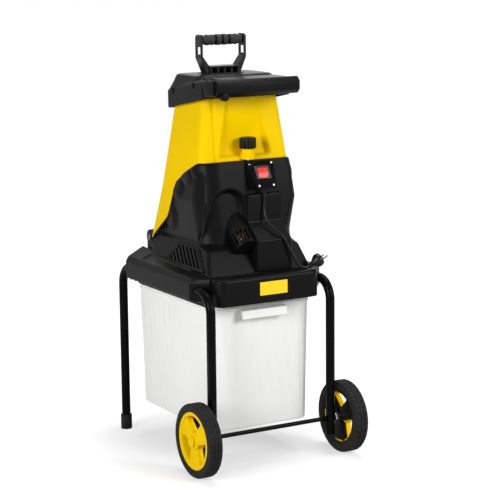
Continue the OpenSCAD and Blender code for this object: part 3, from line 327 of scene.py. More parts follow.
class Finish:
    """Node material of one surface: fixed values on the shader's sockets, and signals for what varies."""

    def __init__(self, name, **fixed):
        self.material = bpy.data.materials.new(name)
        self.material.use_nodes = True
        self.tree = self.material.node_tree
        self.shader = self.tree.nodes["Principled BSDF"]
        self.place = self.node("ShaderNodeTexCoord", out="Object")
        for socket, value in fixed.items():
            self.shader.inputs[socket.replace("_", " ")].default_value = value

    def node(self, kind, settings=None, inputs=None, out=0):
        """Adds a node with its settings and sockets, and gives back one of its outputs."""
        new = self.tree.nodes.new(kind)
        for key, value in (settings or {}).items():
            setattr(new, key, value)
        for key, value in (inputs or {}).items():
            self.feed(new.inputs[key], value)
        return Signal(self, new.outputs[out])

    def feed(self, socket, value):
        """Links a signal to a socket, or sets the socket's own value."""
        if isinstance(value, Signal):
            self.tree.links.new(value.socket, socket)
        else:
            socket.default_value = value

    def noise(self, per_metre, detail=2.0, rough=0.5, stretch=(1, 1, 1)):
        """Noise of about per_metre blobs to the metre, from 0 to 1, drawn out along the axes by stretch."""
        at = self.place
        if stretch != (1, 1, 1):
            at = self.node("ShaderNodeMapping", None, {"Vector": at, "Scale": stretch})
        sockets = {"Vector": at, "Scale": per_metre, "Detail": detail, "Roughness": rough}
        return self.node("ShaderNodeTexNoise", None, sockets)

    def mix(self, factor, low, high):
        """Colour from low to high by a signal."""
        sockets = {0: factor, 6: (*low, 1) if isinstance(low, tuple) else low, 7: (*high, 1)}
        return self.node("ShaderNodeMix", {"data_type": "RGBA"}, sockets, out=2)

    def shade(self, factor, colour, low, high):
        """Colour times low to high by a signal."""
        return self.mix(factor, scaled(colour, low), scaled(colour, high))

    def bump(self, height, distance, strength=0.6):
        """Bends the surface by a height signal of a depth in metres."""
        sockets = {"Height": height, "Distance": distance, "Strength": strength}
        self.feed(self.shader.inputs["Normal"], self.node("ShaderNodeBump", None, sockets))

    def vary(self, **signals):
        """Feeds signals to the shader's sockets and gives back the material."""
        for socket, value in signals.items():
            self.feed(self.shader.inputs[socket.replace("_", " ")], value)
        return self.material


def scaled(colour, factor):
    """Colour times a factor, held to 1."""
    return tuple(min(1.0, c * factor) for c in colour)


def moulded_plastic(name, colour, rough, grain_per_metre=900.0, grain_depth=0.00008, spread=0.1, gloss=0.25):
    """Moulded plastic: faint flow marks in its colour, and a spark-eroded grain in its gloss and relief."""
    f = Finish(name, IOR=1.5, Specular_IOR_Level=gloss)
    flow = f.noise(9.0, 4.0)
    grain = f.noise(grain_per_metre, 2.0, 0.6)
    f.bump(grain, grain_depth)
    return f.vary(
        Base_Color=f.shade(flow, colour, 1 - spread, 1 + spread),
        Roughness=rough + 0.16 * (grain - 0.5) + 0.12 * (flow - 0.5),
    )


def milky_plastic(name, colour, alpha):
    """Translucent bin plastic: clouded colour, faint scuffs, and light that passes in part."""
    f = Finish(name, IOR=1.45, Subsurface_Weight=0.2, Subsurface_Scale=0.01, Subsurface_Radius=(1, 1, 1))
    cloud = f.noise(6.0, 3.0)
    scuff = f.noise(60.0, 4.0, 0.7, (1, 1, 0.12))
    f.bump(f.noise(500.0, 2.0), 0.00006)
    return f.vary(
        Base_Color=f.shade(cloud, colour, 0.97, 1.03),
        Roughness=0.36 + 0.2 * (scuff - 0.4),
        Alpha=alpha + 0.06 * (cloud - 0.5),
    )


def gloss_paint(name, colour):
    """Powder paint on steel tube: deep gloss with a slight orange-peel relief and duller patches."""
    f = Finish(name, IOR=1.5, Specular_IOR_Level=0.035)
    peel = f.noise(260.0, 1.0)
    dull = f.noise(14.0, 4.0, 0.6)
    f.bump(peel, 0.00012, 0.35)
    return f.vary(
        Base_Color=f.shade(dull, colour, 0.85, 1.25),
        Roughness=0.16 + 0.1 * dull,
    )


def rubber(name, colour, rough=0.72, dust=0.1):
    """Rubber: matt, with a fine pebbled relief and a little dust in broad patches."""
    f = Finish(name, IOR=1.5, Specular_IOR_Level=0.06)
    pebble = f.noise(1400.0, 2.0, 0.6)
    patch = f.noise(26.0, 5.0, 0.65)
    f.bump(pebble, 0.0001)
    dusty = tuple(c + dust * 0.25 for c in colour)
    return f.vary(
        Base_Color=f.mix(patch**2.0, colour, dusty),
        Roughness=rough + 0.14 * (pebble - 0.5) + 0.1 * (patch - 0.5),
    )


def bare_metal(name, colour, rough=0.28, lines=(1, 1, 1), spread=0.18):
    """Machined metal: fine tool lines, drawn out along the axes given, and a slight tarnish."""
    f = Finish(name, Metallic=1.0)
    line = f.noise(700.0, 3.0, 0.6, lines)
    stain = f.noise(40.0, 4.0, 0.6)
    f.bump(line, 0.00003, 0.4)
    return f.vary(
        Base_Color=f.shade(stain, colour, 1 - spread, 1 + spread),
        Roughness=rough + 0.18 * (line - 0.5) + 0.1 * (stain - 0.5),
    )


def varnished_winding(name, colour):
    """Lacquered copper wire: rows of turns across the coil, with pools of darker varnish."""
    f = Finish(name, Coat_Weight=0.5, Coat_Roughness=0.15)
    sockets = {"Vector": f.place, "Scale": 180.0, "Distortion": 1.5, "Detail": 2.0}
    turns = f.node("ShaderNodeTexWave", {"bands_direction": "Z"}, sockets, out=1)
    pool = f.noise(60.0, 3.0)
    f.bump(turns, 0.0004)
    return f.vary(
        Base_Color=f.shade(turns * pool, colour, 0.5, 1.4),
        Roughness=0.3 + 0.2 * pool,
        Metallic=0.6 * turns,
    )


def lit_red_plastic(name, colour):
    """Clear red rocker plastic: a deeper red where it is thick, and a clean gloss."""
    f = Finish(name, IOR=1.49, Specular_IOR_Level=0.2, Coat_Weight=0.1, Coat_Roughness=0.08)
    depth = f.noise(120.0, 2.0)
    f.bump(f.noise(700.0), 0.00003)
    return f.vary(
        Base_Color=f.shade(depth, colour, 0.8, 1.15),
        Roughness=0.22 + 0.1 * depth,
    )


# Seam between the housing and the hopper, rear to front, as [y, height] in the tower's frame
SEAM = [[150, 52], [136, 68], [47, 133], [-2, 234], [-52, 266], [-110, 295], [-150, 295]]
SEAM_CURVE = rounded(SEAM + [[-150, -400], [150, -400]], [0, 8, 26, 30, 40, 40, 0, 0, 0], 8)[: 9 * len(SEAM)]
SEAM_GAP = 0.8


def seam_height(y):
    """Height of the rounded seam at a distance from front to rear."""
    return np.interp(-np.asarray(y), -SEAM_CURVE[:, 0], SEAM_CURVE[:, 1])


def seam_distance(y, h):
    """Least distance from points of a side wall to the seam."""
    gaps = np.stack([y, h], -1)[..., None, :] - SEAM_CURVE[::3]
    return np.linalg.norm(gaps, axis=-1).min(-1)


def by_angle(outline, count):
    """Outline round the origin, at count points of equal steps in angle."""
    dense = resampled(outline, 1600)
    angle = np.arctan2(dense[:, 1], dense[:, 0])
    order = np.argsort(angle)
    at = np.linspace(-math.pi, math.pi, count, endpoint=False)
    return np.stack([np.interp(at, angle[order], dense[order, k], period=2 * math.pi) for k in (0, 1)], 1)


def walk(weights, sample, radii, extra, steps=5):
    """Closed walk round a plan whose corners each depend on some widths: rows of weights, one a point. The
    last two weights of a corner are its fixed x and y, its arc is taken from a sample plan, and extra points
    are spread evenly on each straight side."""
    offsets = rounded(sample, radii, steps).reshape(len(sample), -1, 2) - np.asarray(sample, float)[:, None]
    rows = np.repeat(np.asarray(weights, float)[:, None], steps + 1, 1)
    rows[:, :, -2:] += offsets
    rows = rows.reshape(-1, rows.shape[-1])
    place = np.arange(len(rows), dtype=float)
    for k, count in enumerate(extra):
        start = (k + 1) * (steps + 1) - 1
        place = np.append(place, start + np.arange(1, count + 1) / (count + 1))
    place = np.sort(place)
    looped = np.vstack([rows, rows[:1]])
    low = np.floor(place).astype(int)
    share = (place - low)[:, None]
    return looped[low] * (1 - share) + looped[low + 1] * share


# Hopper: chamfer in plan, heights, limits at the top and at the flare's foot, and tapers of sides and ends
HOPPER_CHAMFER = 14.0
HOPPER_TOP, FLARE_TOP, HOPPER_FOOT = 415, 220, 60
HOPPER_HALF, HOPPER_FRONT, HOPPER_REAR, FLARE_REAR = 124, -116, 65, 160
HOPPER_TAPERS = np.tan(np.radians([7.5, 5.5, 6.4]))
ALCOVE_DEPTH = 18
HINGE_NOTCH = 124, 144
# Lock screw's place in plan, and the radius of the holes it passes
LOCK = (7.0, -130.0)
LOCK_HOLE = 6.7


def hopper_plan():
    """Walk round the hopper's chamfered plan: weights of half width, front and rear, and a fixed x and y."""
    c = HOPPER_CHAMFER
    weights = [
        [-1, 1, 0, c, 0], [1, 1, 0, -c, 0], [1, 1, 0, 0, c], [1, 0, 1, 0, -c],
        [1, 0, 1, -c, 0], [-1, 0, 1, c, 0], [-1, 0, 1, 0, -c], [-1, 1, 0, 0, c]]
    a, b = 100, 100 - c
    sample = [[-b, -a], [b, -a], [a, -b], [a, b], [b, a], [-b, a], [-a, b], [-a, -b]]
    return walk(weights, sample, 18, [96, 2, 40, 2, 60, 2, 40, 2])


# Height of the hood's foot in the middle, and how far the hood leans, in degrees
HOOD_FOOT = 442.8
HOOD_SLOPE = 10.2
HOOD_SIN, HOOD_COS = math.sin(math.radians(HOOD_SLOPE)), math.cos(math.radians(HOOD_SLOPE))


def hood_plane(y, rise):
    """Height of the plane that lies rise above the hood's foot and leans with the hood."""
    return HOOD_FOOT + (rise - y * HOOD_SIN) / HOOD_COS


def on_hopper(plan, h):
    """x and y of the hopper's walk at heights: half width, front and rear are straight tapers, and the rear
    is flared at its foot."""
    side, ahead, behind = HOPPER_TAPERS
    drop = HOPPER_TOP - np.maximum(h, FLARE_TOP)
    half = HOPPER_HALF + drop * side
    front = HOPPER_FRONT - (HOPPER_TOP - h) * ahead
    rear = HOPPER_REAR + drop * behind
    flare = (FLARE_TOP - np.minimum(h, FLARE_TOP)) / (FLARE_TOP - HOPPER_FOOT)
    rear = rear + (FLARE_REAR - rear) * flare
    x = plan[:, 0] * half + plan[:, 3]
    return x, plan[:, 1] * front + plan[:, 2] * rear + plan[:, 4]


def hopper_skin(rows=76):
    """Hopper's outer skin: the chamfered plan carried from the seam to the hood, whose heights are found in a
    few rounds. The front is pushed back by an alcove behind the lock, which narrows and fades upwards, and by
    a shallow step. The foot is notched round the hinge ears."""
    plan = hopper_plan()
    low = np.full(len(plan), 300.0)
    high = np.full(len(plan), 460.0)
    for _ in range(6):
        x, y = on_hopper(plan, low)
        notch = between(np.abs(x), *HINGE_NOTCH, 2) * ease((y - 140) / 4)
        low = np.maximum(seam_height(y) + SEAM_GAP, HOPPER_FOOT + 12 * notch)
        high = hood_plane(on_hopper(plan, high)[1], 14)
    h = low + (high - low) * np.linspace(0, 1, rows)[:, None]
    x, y = on_hopper(plan, h)
    front = plan[:, 1] * ease((100 - np.abs(x)) / 10)
    share = (h - 308) / 150
    alcove = between(x, -75 + 30 * share, 79 - 36 * share, 14) * ease((h - 304) / 8)
    alcove = ALCOVE_DEPTH * alcove * (1 - 0.75 * ease((h - 345) / 90))
    step = 2 * ease((-80 - x) / 8) * ease((x + 104) / 8)
    y = y + front * (alcove + step)
    return loft(np.stack([x, y, h], -1), ends=(False, False))


HOUSING_FRONT = [[0, -205], [68, -168], [130, -160], [220, -150], [297, -140]]
HOUSING_HALF = [[0, 160], [77, 138], [110, 142], [190, 152], [240, 146], [262, 147], [297, 140]]
HOUSING_REAR = 150.0
VENT = [[-178, 9], [46, 11], [-8, 66], [-118, 66]]
# Radii of the housing's front corners at some heights, and their radius in the plan that is walked round
CORNER_HEIGHTS = [62, 74, 100, 190, 255, 297]
CORNER_LEFT = [9, 60, 74, 70, 62, 56]
CORNER_RIGHT = [9, 48, 54, 26, 22, 26]
CORNER = 26


def housing_plan():
    """Walk round the housing's plan: weights of half width, front and rear, and a fixed x and y."""
    weights = [[-1, 0, 1, 0, 0], [-1, 1, 0, 0, 0], [1, 1, 0, 0, 0], [1, 0, 1, 0, 0]]
    sample = [[-150, 150], [-150, -150], [150, -150], [150, 150]]
    return walk(weights, sample, [12, CORNER, CORNER, 12], [50, 130, 50, 12], 24)


def on_housing(plan, h):
    """x and y of the housing's walk at heights: half width and front follow its two side views, and the front
    corners' arcs are grown to their radii."""
    half, front = (np.interp(h, *np.transpose(view)) for view in (HOUSING_HALF, HOUSING_FRONT))
    left, right = (np.interp(h, CORNER_HEIGHTS, radii) for radii in (CORNER_LEFT, CORNER_RIGHT))
    radius = np.where(plan[:, 0] < 0, left, right)
    grown = 1 + (radius / CORNER - 1) * plan[:, 1]
    x = plan[:, 0] * half + plan[:, 3] * grown
    return x, plan[:, 1] * front + plan[:, 2] * HOUSING_REAR + plan[:, 4] * grown


def in_polygon(u, v, corners):
    """Signed distance to a convex anticlockwise polygon's nearest side, positive inside."""
    p = np.array(corners, float)
    along = unit(np.roll(p, -1, 0) - p)
    gaps = along[:, 0] * (v[..., None] - p[:, 1]) - along[:, 1] * (u[..., None] - p[:, 0])
    return gaps.min(-1)


RECESS_DEPTH, SCOOP_DEPTH, VENT_DEPTH = 22, 7, 7
ARCH_FOOT, ARCH_SPRING = 68, 172
ARCH_MIDDLE, ARCH_RADIUS = -64, 48


def arch_distance(x, h):
    """Distance inside the arched recess: a leaning left edge, an upright right edge and a half round top."""
    left = ARCH_MIDDLE - ARCH_RADIUS - 28 * (ARCH_SPRING - h) / (ARCH_SPRING - ARCH_FOOT)
    below = np.minimum(np.minimum(x - left, ARCH_MIDDLE + ARCH_RADIUS - x), h - ARCH_FOOT)
    above = ARCH_RADIUS - np.hypot(x - ARCH_MIDDLE, h - ARCH_SPRING)
    return np.where(h < ARCH_SPRING, below, above)


def housing_skin(rows=112):
    """Housing's outer skin: the plan carried from the deck to the seam, whose height is found in a few
    rounds. The sides are scooped below the seam's band, the vents are sunk, and the front has its arched
    recess."""
    plan = housing_plan()
    high = np.full(len(plan), 200.0)
    for _ in range(8):
        high = 0.5 * high + 0.5 * seam_height(on_housing(plan, high)[1])
    h = high * np.linspace(0, 1, rows)[:, None] ** 0.9
    x, y = on_housing(plan, h)
    side = np.abs(plan[:, 0]) * ease((np.abs(x) - 124) / 12)
    scoop = SCOOP_DEPTH * ease((seam_distance(y, h) - 18) / 26) * ease((h - 66) / 16) * ease((y + 140) / 24)
    sunk = VENT_DEPTH * ease(in_polygon(y, h, VENT) / 4 + 0.5)
    x = x - np.sign(x) * side * (scoop + sunk)
    recess = RECESS_DEPTH * ease(arch_distance(x, h) / 15 + 0.4)
    y = y + recess * ease((-90 - y) / 30)
    return loft(np.stack([x, y, h], -1), ends=(False, False))


def clipped(outline, corners):
    """Part of a convex outline inside a convex anticlockwise polygon, cut along one side after another."""
    p = np.array(corners, float)
    for start, end in zip(p, np.roll(p, -1, 0)):
        along = end - start
        d = along[0] * (outline[:, 1] - start[1]) - along[1] * (outline[:, 0] - start[0])
        e = np.roll(d, -1)
        gap = np.where(d == e, 1, d - e)
        crossing = outline + (np.roll(outline, -1, 0) - outline) * (d / gap)[:, None]
        keep = np.stack([d >= 0, d * e < 0], 1)
        outline = np.stack([outline, crossing], 1)[keep]
    return outline


def vent_slats():
    """Frame and slanted bars of one vent, lying on the flared side: the side view is carried along X, then
    leaned so that x follows 160 - 22 h / 77."""
    outer = rounded(VENT, 5)
    steps = [(-1, -4), (-1, 0.6), (0, 1.4), (4, 1.4), (5, 0.6), (5, -4)]
    rings = stacked("X", outer, steps)
    shapes = [loft(rings + rings[:1], ends=(False, False))]
    inner = inset(np.array(VENT, float), 3)
    for middle in np.arange(-152, 60, 22):
        bar = clipped(np.array([[-45, 0], [-34, 0], [40, 70], [29, 70]], float) + [middle, 0], inner)
        if len(bar) > 2 and np.ptp(bar[:, 1]) > 8:
            shapes.append(prism(bar, -6, 0.4, "X", 0.6, 2))
    points, faces = joined(*shapes)
    points[:, 0] += 160 - 22 * points[:, 2] / 77
    return points, faces


SERVICE_BOX = [[-215, 0], [-120, 0], [-120, 208], [-165, 208], [-165, 130], [-215, 87]]


def bored(outline, low, high, radius, centre, count=160):
    """Outline carried along Z from low to high, with a round hole through it: rings run from the hole's lower
    rim to the outside, up and back to the hole, all read at equal angles round it."""
    rim = by_angle(outline - np.asarray(centre), count)
    hole = by_angle(circle(radius, 96), count)
    eased = inset(rim, 1.0)
    steps = [(hole, low), (eased, low), (rim, low + 1), (rim, high - 1), (eased, high), (hole, high)]
    rings = [turned_ring("Z", plan + np.asarray(centre), z) for plan, z in steps + steps[:1]]
    return loft(rings, ends=(False, False))


def housing_front():
    """Housing's front: its roof and lock lug, both bored for the lock screw, and the service box, a rounded
    side view carried along X."""
    corners = [[136, -139], [136, -70], [-136, -70], [-136, -139]]
    roof = bored(rounded(corners, [24, 20, 20, 52], 10), 290, 295, LOCK_HOLE, LOCK)
    lug = bored(rectangle(-6, 15, -150, -112, 3), 253, 289.9, LOCK_HOLE, LOCK)
    box = prism(rounded(SERVICE_BOX, [6, 1, 1, 7, 9, 7], 6), -14, 94, "X", 5, 5)
    return joined(roof, lug, box)


HOOD_TOP = 525.0
HOOD_WALL = 3.5


def on_hood(points):
    """Points of the hood's leaning frame in the tower's: turned back about X and raised to its foot."""
    x, y, z = np.asarray(points, float).T
    return np.stack([x, y * HOOD_COS + z * HOOD_SIN, HOOD_FOOT - y * HOOD_SIN + z * HOOD_COS], 1)


def hood_shape(count=260):
    """Hood as one closed skin: rings run up the skirt, over the shoulder to the flat top, down the feed slot
    and back inside. Each ring is a rounded rectangle read at equal angles round the slot."""

    def flat(plan, height):
        return turned_ring("Z", by_angle(plan, count), height)

    def leaning(rise, depth):
        x, front, rear = 134 - depth, depth - 152, 84 - depth
        corners = [[x, front], [x, rear], [-x, rear], [-x, front]]
        return on_hood(flat(rounded(corners, np.array([16, 30, 30, 16]) - depth, 10), rise))

    def level(height, depth):
        return flat(rectangle(depth - 117, 117 - depth, depth - 95, 62 - depth, 30 - depth / 2, 10), height)

    def slot(height, depth):
        return flat(rectangle(-49 - depth, 49 + depth, -28 - depth, 28 + depth, 5 + depth, 6), height)

    w, top = HOOD_WALL, HOOD_TOP
    skirt = [(0, w), (0, 1), (1, 0), (24, 1.5), (44, 3), (48, 4), (50, 7)]
    rings = [leaning(*step) for step in skirt]
    rings.append(0.5 * (rings[-1] + level(top - 5, 0)))
    rings += [level(*step) for step in [(top - 4.5, -1), (top - 2, 1.5), (top - 0.5, 6), (top, 12)]]
    rim = [(top, 9), (top + 1.5, 7), (top + 1.5, 2), (top, 0.3), (top - 45, 0.3), (top - 45, 3), (top - w, 3)]
    rings += [slot(*step) for step in rim]
    rings += [level(top - w, 8), leaning(48, w + 8), leaning(44, w + 4)]
    return loft(rings + rings[:1], ends=(False, False))


BAR = (-190.0, 499.0)
BAR_OUTLINE = [
    [-6.5, -22.5], [6.5, -22.5], [17.5, -11.5], [17.5, 11.5],
    [6.5, 22.5], [-6.5, 22.5], [-17.5, 11.5], [-17.5, -11.5]]


def pull_bar():
    """Pull bar with its web to the hood, root fairings and a round nub: outlines carried along X."""
    outline = rounded(np.array(BAR_OUTLINE) + BAR, 5, 4)
    bar = prism(outline, -116, 116, "X", 1.0)
    web = rounded([[-186, 513], [-112, 517], [-112, 521.5], [-186, 521.5]], 2)
    shapes = [bar, prism(web, -102, 102, "X", 2)]
    fairing = rounded([[-188, 482], [-140, 470], [-118, 516], [-188, 519]], 6)
    shapes += [prism(fairing, -131, -88, "X", 5), prism(fairing, 88, 102, "X", 4)]
    nub = lathe([[0, -4], [8, -4], [11, -1], [11, 16], [8.5, 20], [0, 21]], 28)
    shapes.append(moved(nub, (90, 0, 0), (-106, -196, 478)))
    return joined(*shapes)


def bar_caps():
    """End caps of the pull bar: the bar's outline with a sunk face and a raised middle."""
    outline = rounded(np.array(BAR_OUTLINE) + BAR, 4, 4)
    steps = [(0, 116), (0, 124.5), (0.5, 125.5), (1.5, 126), (4, 126), (5, 124.5), (9, 124.5), (10, 125.5)]
    right = loft(stacked("X", outline, steps))
    return joined(right, mirrored(right))


def shoulder_clips():
    """Small clips along the hood's shoulder, each a bar in a slot on its skirt."""
    shapes = []
    for y in (34, -86):
        at = on_hood([[130, y, 44]])[0]
        clip = prism(rectangle(-6, 6, -9, 7, 1.5), -6, 3.2, "X", 0.8)
        shapes.append(moved(clip, (-HOOD_SLOPE, 0, 0), at))
    right = joined(*shapes)
    return joined(right, mirrored(right))


DECK_BULGE = (-160, 160, -257, 205)


def deck_bulge():
    """Deck's middle: rings of a rounded rectangle run from the roof's underside down the inside, round the
    rim and up the outside to a rounded top edge. At the sides and behind, the rim lifts to let the bin's
    edge pass."""
    plan = resampled(rectangle(*DECK_BULGE, 28, 10), 220)
    a = np.linspace(0, math.pi / 2, 6)[1:]
    steps = [(4, -8), (4, -60), (4, -73), (0.6, -73), (0, -72), (0, -40), (0, -9)]
    steps += list(zip(9 - 9 * np.cos(a), -9 + 9 * np.sin(a)))
    steps += [(14, 0), (15.5, -1.2), (22, -1.2)]
    points, faces = loft(stacked("Z", plan, steps))
    beside = np.maximum(ease((points[:, 1] + 2) / 4), ease((np.abs(points[:, 0]) - 146) / 4))
    points[:, 2] += 5 * beside * ease((points[:, 1] + 226) / 8) * (points[:, 2] < -65)
    return points, faces


# Right wing: its limits in x and y, where its front corner starts, and the rise of its top along Y
WING_IN, WING_OUT = 148, 205
WING_FRONT, WING_REAR = -215, 205
WING_CORNER = -177
WING_RISE = [0, 8, 26]
WING_SECTION = [[WING_IN, -61], [WING_OUT, -61], [WING_OUT, -12], [197, -2], [WING_IN, 0]]


def deck_wing():
    """Right wing: its section in x and height carried along Y, drawn in at both ends. The top rises inwards
    and has a sunk panel with a shallow ridge, and the lower edge waves by 1.2 sin(2 pi y / 26)."""
    spans = (WING_FRONT, WING_CORNER, 14), (-175, 200, 150), (202, WING_REAR, 4)
    y = np.concatenate([np.linspace(*span) for span in spans])
    section = resampled(rounded(WING_SECTION, [1, 4, 4, 4, 1], 6), 120)
    edge = np.interp(y, [WING_FRONT, WING_CORNER, 202, WING_REAR], [165, WING_OUT, WING_OUT, 202])[:, None]
    share = (section[:, 0] - WING_IN) / (WING_OUT - WING_IN)
    x = WING_IN + share * (edge - WING_IN)
    z = np.repeat(section[None, :, 1], len(y), 0)
    along = np.repeat(y[:, None], len(section), 1)
    top = section[:, 1] > -10
    middle = between(x, 164, 190, 4)
    panel = between(along, -112, 127, 4) * middle
    bar = between(along, -40, -30, 3) * middle
    rise = np.interp(along, [WING_FRONT, WING_CORNER, WING_REAR], WING_RISE) * (1 - share)
    z = z + top * (rise - 3 * panel + 1.2 * bar)
    z = z + (section[:, 1] < -57) * 1.2 * np.sin(2 * math.pi * along / 26)
    return loft(np.stack([x, along, z], -1))


def deck_shape():
    """Deck with its middle, two wings and the housing's footing."""
    wing = deck_wing()
    foot = prism(rectangle(-146, 146, -212, 152, 14), -2, 2.2, "Z", 1.5)
    return joined(deck_bulge(), wing, mirrored(wing), foot)


BIN = (-160, 160, -203.5, 222.5)
BIN_TOP = -71.7
BIN_HEIGHT = 358.0
BIN_WALL = 3.0


def bin_shape(count=420):
    """Bin: rings of a rounded rectangle run up the outside, over the rim flange and down the inside. The
    outside has shallow upright ribs, 0.9 cos^10(pi s / 31) proud, with s the distance round the plan."""
    outline = resampled(rectangle(*BIN, 25, 10), count)

    def ring(share, depth, rib=0.0):
        plan = inset(outline, 9 * (1 - share) + depth)
        run = np.concatenate([[0], np.cumsum(np.linalg.norm(np.diff(plan, axis=0), axis=1))])
        plan = plan + rib * unit(plan) * np.cos(math.pi * run / 31)[:, None] ** 10
        return turned_ring("Z", plan, BIN_TOP - BIN_HEIGHT * (1 - share))

    w = BIN_WALL
    low, high = 0.06, 0.9
    at = np.linspace(low, high, 24)
    ribs = list(zip(at, 0 * at, 0.9 * ease((at - low) / 0.05) * ease((high - at) / 0.05)))
    foot = [(0, 7), (0, 3.5), (0.006, 1), (0.02, 0)]
    band = [(0.93, 0), (0.931, -2.2), (0.95, -2.2), (0.951, 0), (0.9916, 0)]
    rim = [(0.9917, -5), (0.995, -6), (0.999, -6), (1, -5), (1, w)]
    inside = [(0.5, w), (0.03, w), (0.012, w + 2), (0.0084, w + 6)]
    return loft([ring(*step) for step in foot + ribs + band + rim + inside])


def bin_pieces():
    """Bin with a grip lip at its front and one at its rear: a hooked section carried along X, with rounded
    ends."""
    y, h = -202, BIN_TOP - 22
    section = [[y, h], [y - 22, h - 3], [y - 24, h - 26], [y - 21, h - 26], [y - 19, h - 7], [y, h - 5]]
    lip = prism(rounded(section[::-1], [0.5, 2, 1, 1, 3, 0.5]), -70, 70, "X", 0.9)
    return joined(bin_shape(), lip, moved(mirrored(lip, (1, -1, 1)), by=(0, 19, 0)))


# Axle's place in the tower's frame, the tyre's middle along it, and the tread's notches
WHEEL_Y = -261.0
WHEEL_H = -420.0
TYRE_MIDDLE = 227.8
TREADS = 36


def on_wheel(*shapes):
    """Shapes turned from an axis along Z to the right wheel's axle, along X."""
    points, faces = joined(*shapes)
    x, y, z = points.T
    return np.stack([z, WHEEL_Y + x, WHEEL_H + y], 1), faces


def tyre_shape():
    """Tyre: a closed profile turned about the axle. The tread has two grooves round it, and its shoulders are
    notched by 2.2 mm where cos(36 a) is below -0.2."""
    inner = [[78, 210], [84, 209], [92, 208.8], [97, 209.2], [99, 210.4], [99.8, 212.2], [100, 214]]
    inner += [[100, 219], [100, 221.6], [98.6, 222.2], [98.6, 223.8], [100, 224.4], [100, TYRE_MIDDLE]]
    outer = [[r, 2 * TYRE_MIDDLE - x] for r, x in inner[-2::-1]]
    profile = np.array(inner + outer + inner[:1])
    shoulder = between(np.abs(profile[:, 1] - TYRE_MIDDLE), 8, 17.2, 1.0) * (profile[:, 0] > 90)
    return on_wheel(lathe(profile, 432, 2.2 * shoulder, lambda a: ease((-np.cos(TREADS * a) - 0.2) / 0.25)))


# Hub arms: where they start and end, and the angles they stand at, in degrees
ARM_IN, ARM_OUT = 16, 74
ARM_TURNS = (180, 300, 420)


def arm_width(reach):
    """Half width of a hub arm at a distance from the axle."""
    return 18 + 15 * ((reach - ARM_IN) / (ARM_OUT - ARM_IN)) ** 1.4


def hub_arm(turn):
    """One hub arm: a tapered plate from the boss to the rim, with ridges across its outer face."""
    reach = np.linspace(ARM_IN, ARM_OUT, 60)
    width = arm_width(reach)
    across = np.linspace(-1, 1, 15)
    ridge = 1.1 * ease((np.cos(2 * math.pi * (reach - 20) / 13) - 0.1) / 0.5) * between(reach, 26, 68, 2)
    flat = between(across, -0.78, 0.78, 0.12)
    face = 243 + ridge[:, None] * flat[None, :] - 1.5 * (np.abs(across) > 0.93)[None, :]
    front = np.stack([across[None, :] * width[:, None], np.repeat(reach[:, None], 15, 1), face], -1)
    back = front[:, ::-1] * [1, 1, 0] + [0, 0, 226]
    return moved(loft(np.concatenate([front, back], 1)), (0, 0, turn))


def hub_shape():
    """Yellow hub cover: rim ring, boss with a sunk centre and three arms, one of them pointing down."""
    rim = [[67, 214], [79, 214], [79, 244], [77, 245.8], [74, 246.2], [69, 245.5], [67, 243.5], [66, 240]]
    boss = [[0, 224], [25, 224], [25, 243], [23, 245.5], [16, 246.6], [0, 246.6]]
    return on_wheel(lathe(rim + rim[:1]), lathe(boss), *[hub_arm(turn) for turn in ARM_TURNS])


def wheel_back():
    """Inner side of the wheel: a dark ring, the hub's sleeve and a dark plate behind each arm."""
    ring = [[70, 211], [78.2, 211], [78.2, 213.8], [70, 213.8], [70, 211]]
    sleeve = [[6.2, 209], [14, 209], [16, 211], [17, 224], [6.2, 224], [6.2, 209]]
    reach = np.linspace(14, 66, 12)
    edge = np.stack([arm_width(np.maximum(reach, ARM_IN)), reach], 1)
    plate = prism(np.vstack([edge, edge[::-1] * [-1, 1]]), 213, 225.6, "Z", 0.8)
    return on_wheel(lathe(ring), lathe(sleeve), *[moved(plate, (0, 0, turn)) for turn in ARM_TURNS])


GROOVES = (-21.0, 0.0, 21.0)
GRIP_HEIGHT = 615
GRIP_END = 60
# Eased edges of the push tool's frame, in metres
TOOL_EDGE = 0.002


def grip_bands():
    """Dark bands that fill most of the grip's grooves."""
    profile = [[9, -3.9], [13.2, -3.9], [13.2, 3.9], [9, 3.9], [9, -3.9]]
    return joined(*[moved(lathe(profile, 40), (0, 90, 0), (at, 0, GRIP_HEIGHT)) for at in GROOVES])


def grip_shape():
    """Push tool's grip: a barrel along X with three grooves and two collars, turned about its own axis."""
    x = np.linspace(-GRIP_END, GRIP_END, 240)
    radius = 15 - 3.2 * (x / GRIP_END) ** 2
    for at in GROOVES:
        radius = radius - 2.4 * between(x, at - 4, at + 4, 0.9)
    radius = np.minimum(radius + 1.3 * between(np.abs(x), 42, 49, 0.8), 15)
    profile = np.vstack([[9, -GRIP_END], np.stack([radius, x], 1), [9, GRIP_END]])
    return moved(lathe(profile, 40), (0, 90, 0), (0, 0, GRIP_HEIGHT))


FLUTES = 14


def knob_shape():
    """Lock knob: a profile turned about its axis. Flutes in its side are 3.4 (0.5 - 0.5 cos(14 a))^3 deep."""
    profile = [[9, 328], [21, 328], [22.6, 329.5], [23, 332], [22.8, 354], [22, 356.5], [20, 358]]
    profile = np.array(profile + [[17, 358.6], [14, 358], [12, 357], [0.01, 357]])
    side = between(profile[:, 1], 326, 358, 2) * (profile[:, 0] > 16)
    knob = lathe(profile, 216, 3.4 * side, lambda a: (0.5 - 0.5 * np.cos(FLUTES * a)) ** 3)
    return moved(knob, by=(*LOCK, 0))


